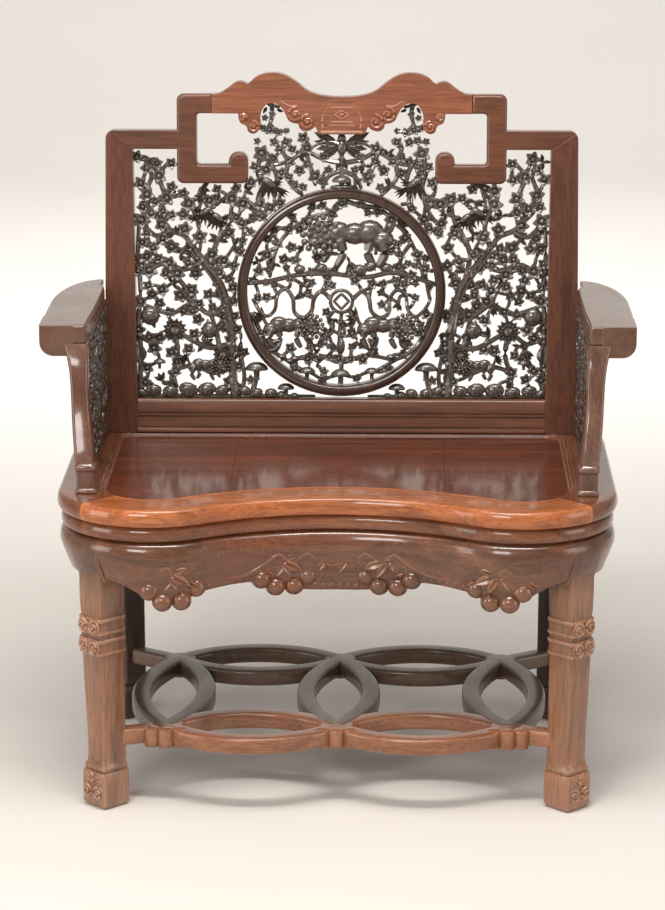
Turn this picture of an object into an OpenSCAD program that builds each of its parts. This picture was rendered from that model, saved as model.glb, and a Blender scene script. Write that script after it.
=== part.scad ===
// Carved hardwood double armchair with an openwork back, an S-curved arm support on each side,
// a kidney-shaped seat and a low lattice of interlaced rings between the legs.
// Millimetres. The front faces -Y, X runs to the right as seen from the front, Z is up
// and the origin is on the floor under the middle of the chair.

/* [Overall] */
// Height of the top of the seat frame
seat_z = 500; // [490:1:510]
// Depth from the front lobes of the seat to the rear of the crest
overall_d = 592; // [588:1:600]
// Half of the width of the seat
seat_half_w = 441; // [437:1:445]
// Angle that the back leans away from the vertical
back_lean = 4; // [3:0.5:5]

/* [Seat] */
// Radius of the two front corners of the seat
corner_r = 153; // [148:1:158]
// How far the middle of the front edge lies behind the two lobes
setback = 85; // [78:1:90]
// Radius of the two rear corners of the seat
rear_corner_r = 90; // [80:1:96]
// Thickness of the mitred seat frame
frame_t = 28; // [26:1:30]
// Width of the frame around the seat panel
frame_w = 78; // [74:1:82]
// Depth of the seat panel below the frame
panel_drop = 3; // [2:0.5:4]
// Height of the waist moulding under the frame
waist_h = 25; // [23:1:27]
// Height of the plain part of the apron
apron_h = 72; // [66:1:76]

/* [Legs] */
// Width across the flats of the lower leg
leg_side = 45; // [42:1:47]
// Width across the flats of the foot
foot_side = 54; // [52:1:56]
// Height of the foot block
foot_h = 76; // [70:1:80]
// Middle height of the carved collar
collar_z = 284; // [275:1:292]

/* [Lattice] */
// Height of the top of the lattice between the legs
lattice_top = 125; // [118:1:130]
// Thickness of the lattice
lattice_t = 27; // [24:1:28]
// Spacing of the crossings along the width
crossing_x = 270; // [266:1:274]
// Half width of a ring, to the middle of its band
ring_sag = 53; // [50:1:56]
// Half width of a front or rear lens, to the middle of its band
lens_sag = 65; // [60:1:68]
// Width of the bands
band_w = 30; // [28:1:31]

/* [Back] */
// Thickness of the posts, rails and crest
back_t = 34; // [32:1:36]
// Radius of the round medallion frame
medallion_r = 174; // [172:1:175]
// Width of the band of the medallion frame
medallion_band = 17; // [15:1:19]
// Thickness of the openwork boards
board_t = 14; // [12:1:16]

/* [Arms] */
// Height of the flat top of the arms
arm_z = 757; // [750:1:762]
// Thickness of the arms
arm_t = 30; // [28:1:32]
// Depth of the rolled front end of the arms
arm_drop = 50; // [46:1:52]

/* [Hidden] */
$fn = 48;

rosewood = [0.30, 0.13, 0.09];
rosewood_worn = [0.47, 0.22, 0.13];
rosewood_dark = [0.13, 0.09, 0.08];

fit = 0.15;                      // clearance on each side of a glued joint
left = -1;
right = 1;
front = -1;
rear = 1;
far = 1200;                      // longer than any part of the chair

// Levels
frame_z = seat_z - frame_t;      // underside of the seat frame, top of the waist
waist_z = frame_z - waist_h;     // underside of the waist, top of the apron
apron_z = waist_z - apron_h;     // lower edge of the plain apron
panel_z = seat_z - panel_drop;   // top of the seat boards
panel_t = 12;
tongue_t = 5;
tongue_w = 8;

// Seat plan: a concave front arc between two convex lobes, straight sides, round rear corners
front_y = -overall_d / 2;
seat_rear_y = overall_d / 2 - 14;
lobe_x = seat_half_w - corner_r;
lobe_y = front_y + corner_r;
lobe_rise = corner_r - setback;
hollow_r = (lobe_x * lobe_x + lobe_rise * lobe_rise - corner_r * corner_r) / (2 * setback);
hollow_y = front_y + setback - hollow_r;
tangent_a = atan2(lobe_y - hollow_y, lobe_x);

// Leg centres, with the front ones on the diagonal of the front corners
leg_x = lobe_x + 79;
leg_front_y = lobe_y - 79;
leg_rear_x = 368;
leg_rear_y = 233;
upper_side = 52;
block_side = 62;
stub_side = 30;
stub_tenon = 22;
stub_tenon_l = 16;

// The back: a plane that starts on the seat and leans away from it
crest_h = 602.5;
back_y = overall_d / 2 - back_t * cos(back_lean) - crest_h * sin(back_lean);
board_y = (back_t - board_t) / 2;
medallion_h = 237;
medallion_depth = 32;
rail_h = 58;
post_h = 507;
post_in = [341, 346];            // inner face of a post at the seat and at the top
post_out = [396, 391];           // outer face of a post at the seat and at the top
step_low = 476;
hook_in = 240;
hook_out = 273;
hook_end = 155;
hook_base = [419, 451];
hook_top = [535, 567];
hook_mid = (hook_top[0] + hook_top[1]) / 2;
knob_w = 32;
knob_h = 471;
crest_end = 215;
seam_x = 171;

// ---------------------------------------------------------------- outlines

function arc(c, r, a0, a1, n = 12) =
    [for (i = [0:n]) let (a = a0 + (a1 - a0) * i / n) [c[0] + r * cos(a), c[1] + r * sin(a)]];

function mirror_x(pts) = [for (i = [len(pts) - 1:-1:0]) [-pts[i][0], pts[i][1]]];

// Right half of the seat edge moved inward by e, from the middle of the front to the rear corner
function seat_half(e, rear_e, rear_r) = concat(
    arc([0, hollow_y], hollow_r + e, 90, tangent_a, 10),
    arc([lobe_x, lobe_y], corner_r - e, tangent_a + 180, 360, 16),
    arc([seat_half_w - e - rear_r, seat_rear_y - rear_e - rear_r], rear_r, 0, 90, 8));

module seat_shape(e) {
    half = seat_half(e, e, max(rear_corner_r - e, 8));
    polygon(concat(half, mirror_x(half)));
}

// The sunk panel: the same line further in, but close to the back at the rear
module panel_shape(grow = 0) {
    half = seat_half(frame_w - grow, seat_rear_y - back_y + 10 - grow, 26 + grow);
    polygon(concat(half, mirror_x(half)));
}

// One quarter of the plan for each member of a mitred frame
module zone(side) {
    a = [leg_x, leg_front_y];
    b = [leg_rear_x, leg_rear_y];
    k = 300;
    if (side == "front")
        polygon([[-a[0] + k, a[1] + k], [-a[0] - k, a[1] - k], [a[0] + k, a[1] - k], [a[0] - k, a[1] + k]]);
    if (side == "rear")
        polygon([[-b[0] + k, b[1] - k], [b[0] - k, b[1] - k], [b[0] + k, b[1] + k], [-b[0] - k, b[1] + k]]);
    if (side == "left" || side == "right")
        scale([side == "left" ? -1 : 1, 1])
            polygon([[a[0] - k + 200, a[1] + k - 200], [a[0] + k, a[1] - k], [b[0] + k, b[1] + k],
                     [b[0] - k + 200, b[1] - k + 200]]);
}

module turned_square(side) {
    rotate(45) square(side, center = true);
}

// The four leg centres: x sign, y sign
function leg_at(sx, sy) = [sx * (sy == front ? leg_x : leg_rear_x), sy == front ? leg_front_y : leg_rear_y];

module at_legs() {
    for (sx = [left, right]) {
        for (sy = [front, rear]) translate(leg_at(sx, sy)) children();
    }
}

// ---------------------------------------------------------------- seat frame

// Half-round edge of the frame as steps: height above the underside, inset of the edge
function frame_steps() = [[0, 4, 5], [4, 8, 1.6], [8, frame_t - 8, 0], [frame_t - 8, frame_t - 3, 1.8],
                          [frame_t - 3, frame_t, 6]];

module frame_band() {
    difference() {
        union() {
            for (s = frame_steps())
                translate([0, 0, frame_z + s[0]]) linear_extrude(s[1] - s[0]) seat_shape(s[2]);
        }
        translate([0, 0, frame_z - 1]) linear_extrude(frame_t + 2) panel_shape();
        translate([0, 0, panel_z - 9 - fit])
            linear_extrude(tongue_t + 2 * fit) panel_shape(tongue_w + fit);
        translate([0, 0, frame_z - 1]) linear_extrude(stub_tenon_l + 1 + fit)
            at_legs() turned_square(stub_tenon + 2 * fit);
        batten_tenons(fit);
    }
}

// Loose-tenon slot across each mitre, grown by g
module mitre_tenons(g) {
    for (sx = [left, right]) {
        translate([sx * (leg_x + 12), leg_front_y - 12, seat_z - 9]) rotate([0, 0, sx * -45])
            cube([26 + 2 * g, 34 + 2 * g, 4 + 2 * g], center = true);
        translate([sx * (leg_rear_x + 6), leg_rear_y + 6, seat_z - 9]) rotate([0, 0, sx * 45])
            cube([26 + 2 * g, 34 + 2 * g, 4 + 2 * g], center = true);
    }
}

module seat_member(side) {
    difference() {
        union() {
            intersection() {
                frame_band();
                translate([0, 0, frame_z]) linear_extrude(frame_t) zone(side);
            }
            if (side == "left" || side == "right") intersection() {
                mitre_tenons(0);
                translate([side == "left" ? -far : 0, -far / 2, 0]) cube([far, far, far]);
            }
        }
        if (side == "front" || side == "rear") mitre_tenons(fit);
        if (side == "rear") back_tenons(fit);
        if (side != "rear") arm_foot_tenons(fit);
    }
}

module seat_frame_front() { color(rosewood_worn) seat_member("front"); }
module seat_frame_rear() { color(rosewood) seat_member("rear"); }
module seat_frame_left() { color(rosewood) seat_member("left"); }
module seat_frame_right() { color(rosewood) seat_member("right"); }

// Three boards, tongued all round into the frame and to each other
module seat_board(x0, x1, tongue_right) {
    rebate = 6;
    difference() {
        intersection() {
            union() {
                translate([0, 0, panel_z - panel_t]) linear_extrude(panel_t) panel_shape(-fit);
                translate([0, 0, panel_z - 9]) linear_extrude(tongue_t) panel_shape(tongue_w);
            }
            union() {
                translate([x0 + fit, -far / 2, 0]) cube([x1 - x0 - 2 * fit, far, far]);
                if (tongue_right) translate([x1 - 1, -far / 2, panel_z - 8.5]) cube([rebate, far, 4]);
            }
        }
        if (x0 > -far / 2)
            translate([x0 - 1, -far / 2, panel_z - 8.5 - fit]) cube([rebate + fit, far, 4 + 2 * fit]);
    }
}

module seat_board_left() { color(rosewood) seat_board(-far / 2, -seam_x, true); }
module seat_board_centre() { color(rosewood) seat_board(-seam_x, seam_x, true); }
module seat_board_right() { color(rosewood) seat_board(seam_x, far / 2, false); }

// Two battens across the underside of the boards, tenoned into the side frames
batten_w = 42;
batten_t = 16;
batten_y = [-50, 110];
batten_half = seat_half_w - frame_w - 1;

module batten_tenon(y, g) {
    for (s = [left, right])
        translate([s * (batten_half + 4), y, panel_z - panel_t - batten_t / 2])
            cube([28 + 2 * g, batten_w - 14 + 2 * g, 7 + 2 * g], center = true);
}

module batten_tenons(g) {
    for (y = batten_y) batten_tenon(y, g);
}

module seat_batten(y) {
    difference() {
        translate([-batten_half, y - batten_w / 2, panel_z - panel_t - batten_t])
            cube([2 * batten_half, batten_w, batten_t]);
        for (s = [left, right]) translate([s * (batten_half + 4), y, 0]) cube([28, batten_w + 2, far], true);
    }
    batten_tenon(y, 0);
    for (s = [left, right])
        translate([s * (batten_half - 12), y, panel_z - panel_t - batten_t / 2])
            cube([16, batten_w, batten_t], center = true);
}

module seat_batten_front() { color(rosewood_dark) seat_batten(batten_y[0]); }
module seat_batten_rear() { color(rosewood_dark) seat_batten(batten_y[1]); }

// ---------------------------------------------------------------- waist and apron

waist_in = 6;
waist_thick = 16;
// Bulge of the apron and leg shoulders: height above the lower edge, inset of the outer face
function apron_steps() =
    [[0, 18, 19], [18, 40, 13], [40, 60, 9], [60, apron_h - 4, 7], [apron_h - 4, apron_h, 10]];
apron_inner = 34;

module waist_member(side) {
    intersection() {
        union() {
            translate([0, 0, waist_z]) linear_extrude(5) waist_ring(waist_in + 4);
            translate([0, 0, waist_z + 5]) linear_extrude(waist_h - 9) waist_ring(waist_in);
            translate([0, 0, frame_z - 4]) linear_extrude(4) waist_ring(waist_in + 3);
        }
        translate([0, 0, waist_z]) linear_extrude(waist_h) zone(side);
    }
}

module waist_ring(e) {
    difference() {
        seat_shape(e);
        seat_shape(waist_in + waist_thick);
    }
}

module waist_front() { color(rosewood) waist_member("front"); }
module waist_rear() { color(rosewood) waist_member("rear"); }
module waist_left() { color(rosewood) waist_member("left"); }
module waist_right() { color(rosewood) waist_member("right"); }

// Plan of a leg block: a turned square carried out to the face of the apron
module block_plan(grow = 0) {
    for (sx = [left, right]) {
        for (sy = [front, rear])
            translate(leg_at(sx, sy)) rotate(sx * sy * 45 + (sx == left ? 180 : 0))
                translate([-block_side / 2 - grow, -block_side / 2 - grow])
                    square([block_side + 50, block_side + 2 * grow]);
    }
}

module apron_tongue_plan(grow = 0) {
    difference() {
        seat_shape(19 - grow);
        seat_shape(29 + grow);
        at_legs() turned_square(36 - 2 * grow);
        difference() {
            square(far, center = true);
            block_plan(1);
        }
    }
}

// Silhouette of the lower edge seen from the front, right half: rises between the two clusters
function apron_edge() = [[0, -26], [52, -26], [70, -20], [118, -14], [134, -8], [165, -9], [205, -14],
                         [222, -20], [286, -22], [312, -8], [334, 2], [356, 8]];

module apron_front_silhouette() {
    half = [for (p = apron_edge()) [p[0], apron_z + p[1]]];
    top = [[500, apron_z + 8], [500, waist_z], [-500, waist_z], [-500, apron_z + 8]];
    polygon(concat(half, top, mirror_x(half)));
}

module apron_shell() {
    for (s = apron_steps()) {
        low = s[0] == 0 ? -30 : s[0];
        translate([0, 0, apron_z + low]) linear_extrude(s[1] - low) difference() {
            seat_shape(s[2]);
            seat_shape(apron_inner);
        }
    }
}

module apron_member(side) {
    difference() {
        intersection() {
            apron_shell();
            translate([0, 0, apron_z - 40]) linear_extrude(apron_h + 40) zone(side);
            apron_cut(side);
        }
        translate([0, 0, apron_z - 41]) linear_extrude(apron_h + 42) block_plan();
    }
    intersection() {
        translate([0, 0, apron_z + 16]) linear_extrude(apron_h - 28) apron_tongue_plan();
        translate([0, 0, apron_z]) linear_extrude(apron_h) zone(side);
    }
}

module apron_cut(side) {
    if (side == "front")
        translate([0, -100, 0]) rotate([90, 0, 0]) linear_extrude(400) apron_front_silhouette();
    else translate([-far, -far, apron_z + 6]) cube([2 * far, 2 * far, apron_h]);
}

// Fruit: clusters of four round berries that hang below the apron
berry_r = 15;
function berries() = [for (b = [[46, -5], [67, -20], [96, -20], [118, -7], [218, -7], [240, -26], [269, -26],
                                [289, -8]]) [b[0], apron_z + b[1] + 1]];
function edge_y(x) = x < hollow_r * cos(tangent_a)
    ? hollow_y + sqrt(pow(hollow_r + 19, 2) - x * x)
    : lobe_y - sqrt(pow(corner_r - 19, 2) - pow(x - lobe_x, 2));

module apron_front() {
    color(rosewood_worn) {
        apron_member("front");
        for (s = [left, right]) {
            for (b = berries()) translate([s * b[0], edge_y(b[0]) + 8, b[1]]) sphere(berry_r, $fn = 24);
        }
    }
}
module apron_rear() { color(rosewood) apron_member("rear"); }
module apron_left() { color(rosewood) apron_member("left"); }
module apron_right() { color(rosewood) apron_member("right"); }

// ---------------------------------------------------------------- legs

// A skin through four-cornered sections, each given as four points of a plan and a height
function skin_faces(n) = concat(
    [[3, 2, 1, 0]],
    [for (i = [0:n - 2], k = [0:3]) let (a = 4 * i + k, b = 4 * i + (k + 1) % 4) [a, b, b + 4, a + 4]],
    [[for (k = [0:3]) 4 * (n - 1) + k]]);

module skin(points) {
    polyhedron(points, [for (f = skin_faces(len(points) / 4)) [for (k = [len(f) - 1:-1:0]) f[k]]]);
}

// Leg sections: height, side of the turned square, shift of its centre outward
function leg_sections() = [
    [0, foot_side - 8, -3], [7, foot_side, -3], [foot_h - 18, foot_side, -3], [foot_h - 4, leg_side + 3, -4],
    [foot_h + 4, leg_side, -6], [collar_z - 38, leg_side + 3, -1],
    [collar_z - 31, foot_side, 0], [collar_z - 3, foot_side, 0], [collar_z, upper_side - 2, 0],
    [collar_z + 3, foot_side, 0], [collar_z + 31, foot_side, 0], [collar_z + 36, upper_side - 3, 0],
    [apron_z, upper_side, 0]];

function turned_ring(z, side, dx, dy) = let (r = side / sqrt(2))
    [[dx + r, dy, z], [dx, dy + r, z], [dx - r, dy, z], [dx, dy - r, z]];

module leg(sx, sy) {
    c = leg_at(sx, sy);
    out = [sx, sy] / sqrt(2);
    face_a = sx * sy * 45 + (sx == left ? 180 : 0);
    difference() {
        union() {
            skin([for (s = leg_sections())
                each turned_ring(s[0], s[1], c[0] + out[0] * s[2], c[1] + out[1] * s[2])]);
            for (s = apron_steps())
                translate([0, 0, apron_z + s[0]]) linear_extrude(s[1] - s[0]) intersection() {
                    seat_shape(s[2]);
                    intersection() {
                        block_plan(-fit);
                        translate([sx * 500, sy * 500]) square(1000, center = true);
                    }
                }
            translate([c[0], c[1], waist_z]) linear_extrude(waist_h) turned_square(stub_side);
            translate([c[0], c[1], frame_z]) linear_extrude(stub_tenon_l) turned_square(stub_tenon);
            // four spirals on the outer face of the collar, two on the foot
            translate([c[0], c[1], 0]) rotate([0, 0, face_a]) {
                for (k = [-1, 1]) {
                    for (dz = [-16, 16])
                        translate([foot_side / 2 - 2, k * 13, collar_z + dz])
                            rotate([0, 90, 0]) cylinder(5, r = 13.5);
                    translate([foot_side / 2 - 5, k * 13, foot_h / 2 - 8])
                        rotate([0, 90, 0]) cylinder(6, r = 12);
                }
            }
        }
        translate([0, 0, apron_z + 16 - fit])
            linear_extrude(apron_h - 28 + 2 * fit) apron_tongue_plan(fit);
        lattice_arm_tenon(sx, sy, fit);
    }
}

module leg_front_left() { color(rosewood_worn) leg(left, front); }
module leg_front_right() { color(rosewood_worn) leg(right, front); }
module leg_rear_left() { color(rosewood) leg(left, rear); }
module leg_rear_right() { color(rosewood) leg(right, rear); }

// ---------------------------------------------------------------- lattice between the legs

lattice_z = lattice_top - lattice_t;
crossing_front_y = -186;
crossing_rear_y = 166;
lattice_mid_y = (crossing_front_y + crossing_rear_y) / 2;
ring_half = (crossing_rear_y - crossing_front_y) / 2;
hub_r = 26;
tongue_in = 14;

// Two arcs that meet in points: c is half of the chord, s the sagitta, w the offset of the line
module vesica(c, s, w) {
    r = (c * c + s * s) / (2 * s);
    intersection() {
        translate([s - r, 0]) circle(r + w, $fn = 180);
        translate([r - s, 0]) circle(r + w, $fn = 180);
    }
}

module vesica_band(c, s, w) {
    difference() {
        vesica(c, s, w / 2);
        vesica(c, s, -w / 2);
    }
}

module ring_plan(x, w) {
    translate([x, lattice_mid_y]) vesica_band(ring_half, ring_sag, w);
}

function crossing(x, sy) = [x, sy == front ? crossing_front_y : crossing_rear_y];

module lens_plan(sx, sy, w) {
    translate(crossing(sx * crossing_x / 2, sy)) rotate(90)
        vesica_band(crossing_x / 2, lens_sag, w);
}

// Plan of the block at a crossing; the front ones carry three lobes
module hub_plan(x, sy, grow = 0) {
    translate(crossing(x, sy)) {
        circle(hub_r + grow);
        if (sy == front) {
            for (k = [-1, 0, 1]) translate([k * 22, -25 - (k == 0 ? 4 : 0)]) circle(12.5 + grow);
        }
    }
}

module lattice_ring(x) {
    translate([0, 0, lattice_z]) linear_extrude(lattice_t) difference() {
        ring_plan(x, band_w);
        hub_plan(x, front, fit);
        hub_plan(x, rear, fit);
    }
    for (sy = [front, rear])
        translate([0, 0, lattice_z + 9]) linear_extrude(9) intersection() {
            ring_plan(x, 12);
            difference() {
                hub_plan(x, sy, 2);
                translate(crossing(x, sy)) circle(tongue_in);
            }
        }
}

module lens_tongue_plan(sx, sy, grow) {
    // only the outer arc of a lens enters the block
    intersection() {
        lens_plan(sx, sy, 12 + 2 * grow);
        translate([-far / 2, sy == front ? crossing_front_y - far : crossing_rear_y]) square(far);
    }
}

module lattice_lens(sx, sy) {
    translate([0, 0, lattice_z]) linear_extrude(lattice_t) difference() {
        lens_plan(sx, sy, band_w + 1);
        for (x = [0, sx * crossing_x]) {
            hub_plan(x, sy, fit);
            translate([x, lattice_mid_y]) vesica(ring_half, ring_sag, band_w / 2 + fit);
        }
    }
    for (x = [0, sx * crossing_x])
        translate([0, 0, lattice_z + 9]) linear_extrude(9) intersection() {
            lens_tongue_plan(sx, sy, 0);
            difference() {
                hub_plan(x, sy, 2);
                translate(crossing(x, sy)) circle(tongue_in);
            }
        }
}

module hub(x, sy) {
    // stands a little proud of the bands, above and below
    difference() {
        translate([0, 0, lattice_z - 4]) linear_extrude(lattice_t + 5) hub_plan(x, sy);
        translate([0, 0, lattice_z + 9 - fit]) linear_extrude(9 + 2 * fit) difference() {
            union() {
                ring_plan(x, 12 + 2 * fit);
                for (sx = [left, right]) lens_tongue_plan(sx, sy, fit);
            }
            translate(crossing(x, sy)) circle(tongue_in - fit);
        }
        for (sx = [left, right]) lattice_arm_hub_tenon(sx, sy, fit);
    }
}

function hub_at(sx, sy) = crossing(sx * crossing_x, sy);
function arm_angle(sx, sy) = let (d = leg_at(sx, sy) - hub_at(sx, sy)) atan2(d[1], d[0]);
function arm_length(sx, sy) = norm(leg_at(sx, sy) - hub_at(sx, sy));

module along_arm(sx, sy) {
    h = hub_at(sx, sy);
    translate([h[0], h[1], lattice_z + lattice_t / 2]) rotate([0, 0, arm_angle(sx, sy)]) children();
}

module lattice_arm_hub_tenon(sx, sy, g) {
    along_arm(sx, sy) translate([tongue_in - g, -5 - g, -4.5 - g]) cube([hub_r, 10 + 2 * g, 9 + 2 * g]);
}

module lattice_arm_tenon(sx, sy, g) {
    l = arm_length(sx, sy);
    along_arm(sx, sy) translate([l - 34, -6 - g, -5 - g]) cube([24 + g, 12 + 2 * g, 10 + 2 * g]);
}

module lattice_arm(sx, sy) {
    difference() {
        along_arm(sx, sy) translate([10, -14, -lattice_t / 2])
            cube([arm_length(sx, sy) - 10, 28, lattice_t]);
        translate([0, 0, lattice_z - 1]) linear_extrude(lattice_t + 2) {
            hub_plan(sx * crossing_x, sy, fit);
            translate(leg_at(sx, sy) - [sx, sy] * 4.2) turned_square(leg_side + 3);
            translate([sx * crossing_x, lattice_mid_y]) vesica(ring_half, ring_sag, band_w / 2 + fit);
        }
    }
    lattice_arm_hub_tenon(sx, sy, 0);
    lattice_arm_tenon(sx, sy, 0);
}

module lattice_ring_left() { color(rosewood_dark) lattice_ring(-crossing_x); }
module lattice_ring_centre() { color(rosewood_dark) lattice_ring(0); }
module lattice_ring_right() { color(rosewood_dark) lattice_ring(crossing_x); }
module lattice_lens_front_left() { color(rosewood) lattice_lens(left, front); }
module lattice_lens_front_right() { color(rosewood) lattice_lens(right, front); }
module lattice_lens_rear_left() { color(rosewood_dark) lattice_lens(left, rear); }
module lattice_lens_rear_right() { color(rosewood_dark) lattice_lens(right, rear); }
module lattice_arm_front_left() { color(rosewood) lattice_arm(left, front); }
module lattice_arm_front_right() { color(rosewood) lattice_arm(right, front); }
module lattice_arm_rear_left() { color(rosewood_dark) lattice_arm(left, rear); }
module lattice_arm_rear_right() { color(rosewood_dark) lattice_arm(right, rear); }
module lattice_knuckle_left() { color(rosewood) hub(-crossing_x, front); }
module lattice_knuckle_centre() { color(rosewood) hub(0, front); }
module lattice_knuckle_right() { color(rosewood) hub(crossing_x, front); }
module lattice_hub_left() { color(rosewood_dark) hub(-crossing_x, rear); }
module lattice_hub_centre() { color(rosewood_dark) hub(0, rear); }
module lattice_hub_right() { color(rosewood_dark) hub(crossing_x, rear); }

// ---------------------------------------------------------------- back frame

// Local frame of the back: X across, Y through the thickness, Z up the leaning front face
module lean() {
    translate([0, back_y, seat_z]) rotate([-back_lean, 0, 0]) children();
}

// A flat shape drawn across and up, given depth y0 to y1 behind the front face
module plate(y0, y1) {
    translate([0, y1, 0]) rotate([90, 0, 0]) linear_extrude(y1 - y0) children();
}

// Everything of a leaning piece that lies above the seat
module above_seat() {
    difference() {
        children();
        translate([-far, -far, seat_z - far]) cube([2 * far, 2 * far, far]);
    }
}

module mirrored(side) {
    mirror([side == left ? 1 : 0, 0, 0]) children();
}

module rounded(r) {
    offset(r) offset(-r) children();
}

tenon_y = 11;
tenon_t = 12;
post_tenon_l = 20;

// Tenons of the posts and of the bottom rail that stand in the rear of the seat frame
module back_tenons(g) {
    lean() {
        for (s = [left, right])
            translate([s * 368 - 16 - g, tenon_y - g, -post_tenon_l - g])
                cube([32 + 2 * g, tenon_t + 2 * g, 40]);
        for (x = [-180, 0, 180])
            translate([x - 25 - g, tenon_y - g, -12 - g]) cube([50 + 2 * g, tenon_t + 2 * g, 30]);
    }
}

module back_post() {
    difference() {
        union() {
            above_seat() lean() plate(0, back_t) rounded(3)
                polygon(concat([[post_in[0], -6], [post_out[0], -6]],
                               arc([post_out[1] - 14, post_h - 14], 14, 0, 45, 5),
                               [[post_in[1], step_low]]));
            lean() translate([368 - 16, tenon_y, -post_tenon_l]) cube([32, tenon_t, 40]);
        }
        lean() {
            rail_tenon(fit);
            step_tenon(fit);
            board_groove();
        }
        arm_rest_tenon(fit);
        arm_panel_tongue(fit);
    }
}

module rail_tenon(g) {
    translate([post_in[0] - 20, tenon_y - g, 12 - g]) cube([40 + g, tenon_t + 2 * g, 32 + 2 * g]);
}

// Hidden tenon of the mitred top corner
module step_tenon(g) {
    translate([post_in[1] - 12, tenon_y - g, step_low + 8 - g]) cube([32 + g, tenon_t + 2 * g, 12 + 2 * g]);
}

// Groove that takes the tongue of the openwork boards
module board_groove() {
    translate([post_in[0] - 6, board_y + 4 - fit, rail_h - 6]) cube([11, board_t - 8 + 2 * fit, 400]);
}

module back_post_left() { color(rosewood) mirrored(left) back_post(); }
module back_post_right() { color(rosewood) back_post(); }

module back_bottom_rail() {
    color(rosewood) difference() {
        union() {
            difference() {
                above_seat() lean() plate(0, back_t)
                    translate([-post_in[0] + fit, -6]) square([2 * (post_in[0] - fit), rail_h + 6]);
                // a pair of scratched lines along the front
                lean() for (h = [28, 46]) translate([-far, -1, h]) cube([2 * far, 2.5, 2]);
            }
            difference() {
                lean() for (s = [left, right]) mirrored(s) rail_tenon(0);
                lean() translate([-post_in[0] + 20, -1, 0]) cube([2 * post_in[0] - 40, back_t + 2, rail_h]);
            }
            lean() for (x = [-180, 0, 180]) translate([x - 25, tenon_y, -12]) cube([50, tenon_t, 30]);
        }
        lean() translate([-far, board_y + 4 - fit, rail_h - 6]) cube([2 * far, board_t - 8 + 2 * fit, 20]);
    }
}

module step_rail() {
    lean() {
        plate(0, back_t) rounded(3)
            polygon(concat([[hook_out + fit, step_low], [post_in[1] - 0.2, step_low]],
                           arc([post_out[1] - 14 - 0.2, post_h - 14 + 0.2], 14, 45, 90, 5),
                           [[hook_out + fit, post_h]]));
        step_tenon(0);
        translate([hook_out - 16, tenon_y, step_low + 6]) cube([20, tenon_t, 18]);
    }
}

module step_rail_left() { color(rosewood) mirrored(left) step_rail(); }
module step_rail_right() { color(rosewood) step_rail(); }

// C-shaped scroll that frames the open window beside the crest
module hook_scroll() {
    difference() {
        lean() {
            plate(0, back_t) difference() {
                rounded(9) difference() {
                    translate([hook_end + 12, hook_base[0]])
                        square([hook_out - hook_end - 12, hook_top[1] - hook_base[0]]);
                    rounded(6) translate([hook_end - 20, hook_base[1]])
                        square([hook_in - hook_end + 20, hook_top[0] - hook_base[1]]);
                }
                translate([0, hook_base[1]]) square([crest_end + fit, 200]);
            }
            plate(0, back_t) rounded(9)
                translate([hook_end, hook_base[0]]) square([knob_w, knob_h - hook_base[0]]);
            plate(0, back_t) translate([hook_end + 12, hook_base[0]])
                square([30, hook_base[1] - hook_base[0]]);
            translate([crest_end - 24, tenon_y, hook_mid - 9]) cube([40, tenon_t, 18]);
        }
        lean() translate([hook_out - 16 - fit, tenon_y - fit, step_low + 6 - fit])
            cube([20, tenon_t + 2 * fit, 18 + 2 * fit]);
        lean() translate([0, -1, hook_base[0] - 1]) cube([hook_end, back_t + 2, 60]);
    }
}

module hook_scroll_left() { color(rosewood) mirrored(left) hook_scroll(); }
module hook_scroll_right() { color(rosewood) hook_scroll(); }

// Crest outline, right half, from the saddle over the hump and the shoulder to the hook frame
function crest_top() = [[0, 562.5], [22, 563.5], [41, 567], [58, 574], [74, 587], [91, 598.5], [104, 601.8],
                        [116, crest_h], [130, 600.5], [144, 594], [152, 586], [156, 583.5], [161, 586.5],
                        [168, 588], [176, 586], [190, 576], [202, 569], [crest_end, 567]];
function crest_low() =
    [[crest_end, 535], [171, 535], [169, 526], [164, 517], [157, 517], [138, 526], [133, 541], [126, 549],
     [118, 552], [107, 550.5], [98, 543], [89, 530], [80, 519], [60, 520], [44, 514], [41, 501], [0, 501]];

module crest_rail() {
    half = concat(crest_top(), crest_low());
    color(rosewood_worn) difference() {
        lean() {
            plate(0, back_t) rounded(1.5) polygon(concat(half, mirror_x(half)));
            // curls that hang from the underside
            for (s = [left, right]) {
                for (c = [[146, 514, 13], [74, 532, 15], [53, 524, 17]])
                    translate([s * c[0], back_t - 4, c[1]])
                        rotate([90, 0, 0]) cylinder(back_t - 6, r = c[2]);
            }
        }
        lean() for (s = [left, right])
            translate([s * (crest_end + 4) - 28 - fit, tenon_y - fit, hook_mid - 9 - fit])
                cube([56 + 2 * fit, tenon_t + 2 * fit, 18 + 2 * fit]);
    }
}

// ---------------------------------------------------------------- openwork carving

// Smooth line through points (Catmull-Rom), n steps for each span
function span(a, b, c, d, t) = 0.5 * (2 * b + (c - a) * t + (2 * a - 5 * b + 4 * c - d) * t * t
                                      + (3 * b - a - 3 * c + d) * t * t * t);
function smooth(p, n = 3) = let (m = len(p) - 1) concat(
    [for (i = [0:m - 1], k = [0:n - 1])
        span(p[max(i - 1, 0)], p[i], p[i + 1], p[min(i + 2, m)], k / n)], [p[m]]);

// Band of a width that tapers from w0 to w1 along a line
function side_of(p, i) = let (d = p[min(i + 1, len(p) - 1)] - p[max(i - 1, 0)]) [-d[1], d[0]] / norm(d);
function band(p, w0, w1) = let (m = len(p) - 1) concat(
    [for (i = [0:m]) p[i] + side_of(p, i) * (w0 + (w1 - w0) * i / m) / 2],
    [for (i = [m:-1:0]) p[i] - side_of(p, i) * (w0 + (w1 - w0) * i / m) / 2]);

module branch(pts, w0, w1) {
    polygon(band(smooth(pts), w0, w1));
}

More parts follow.
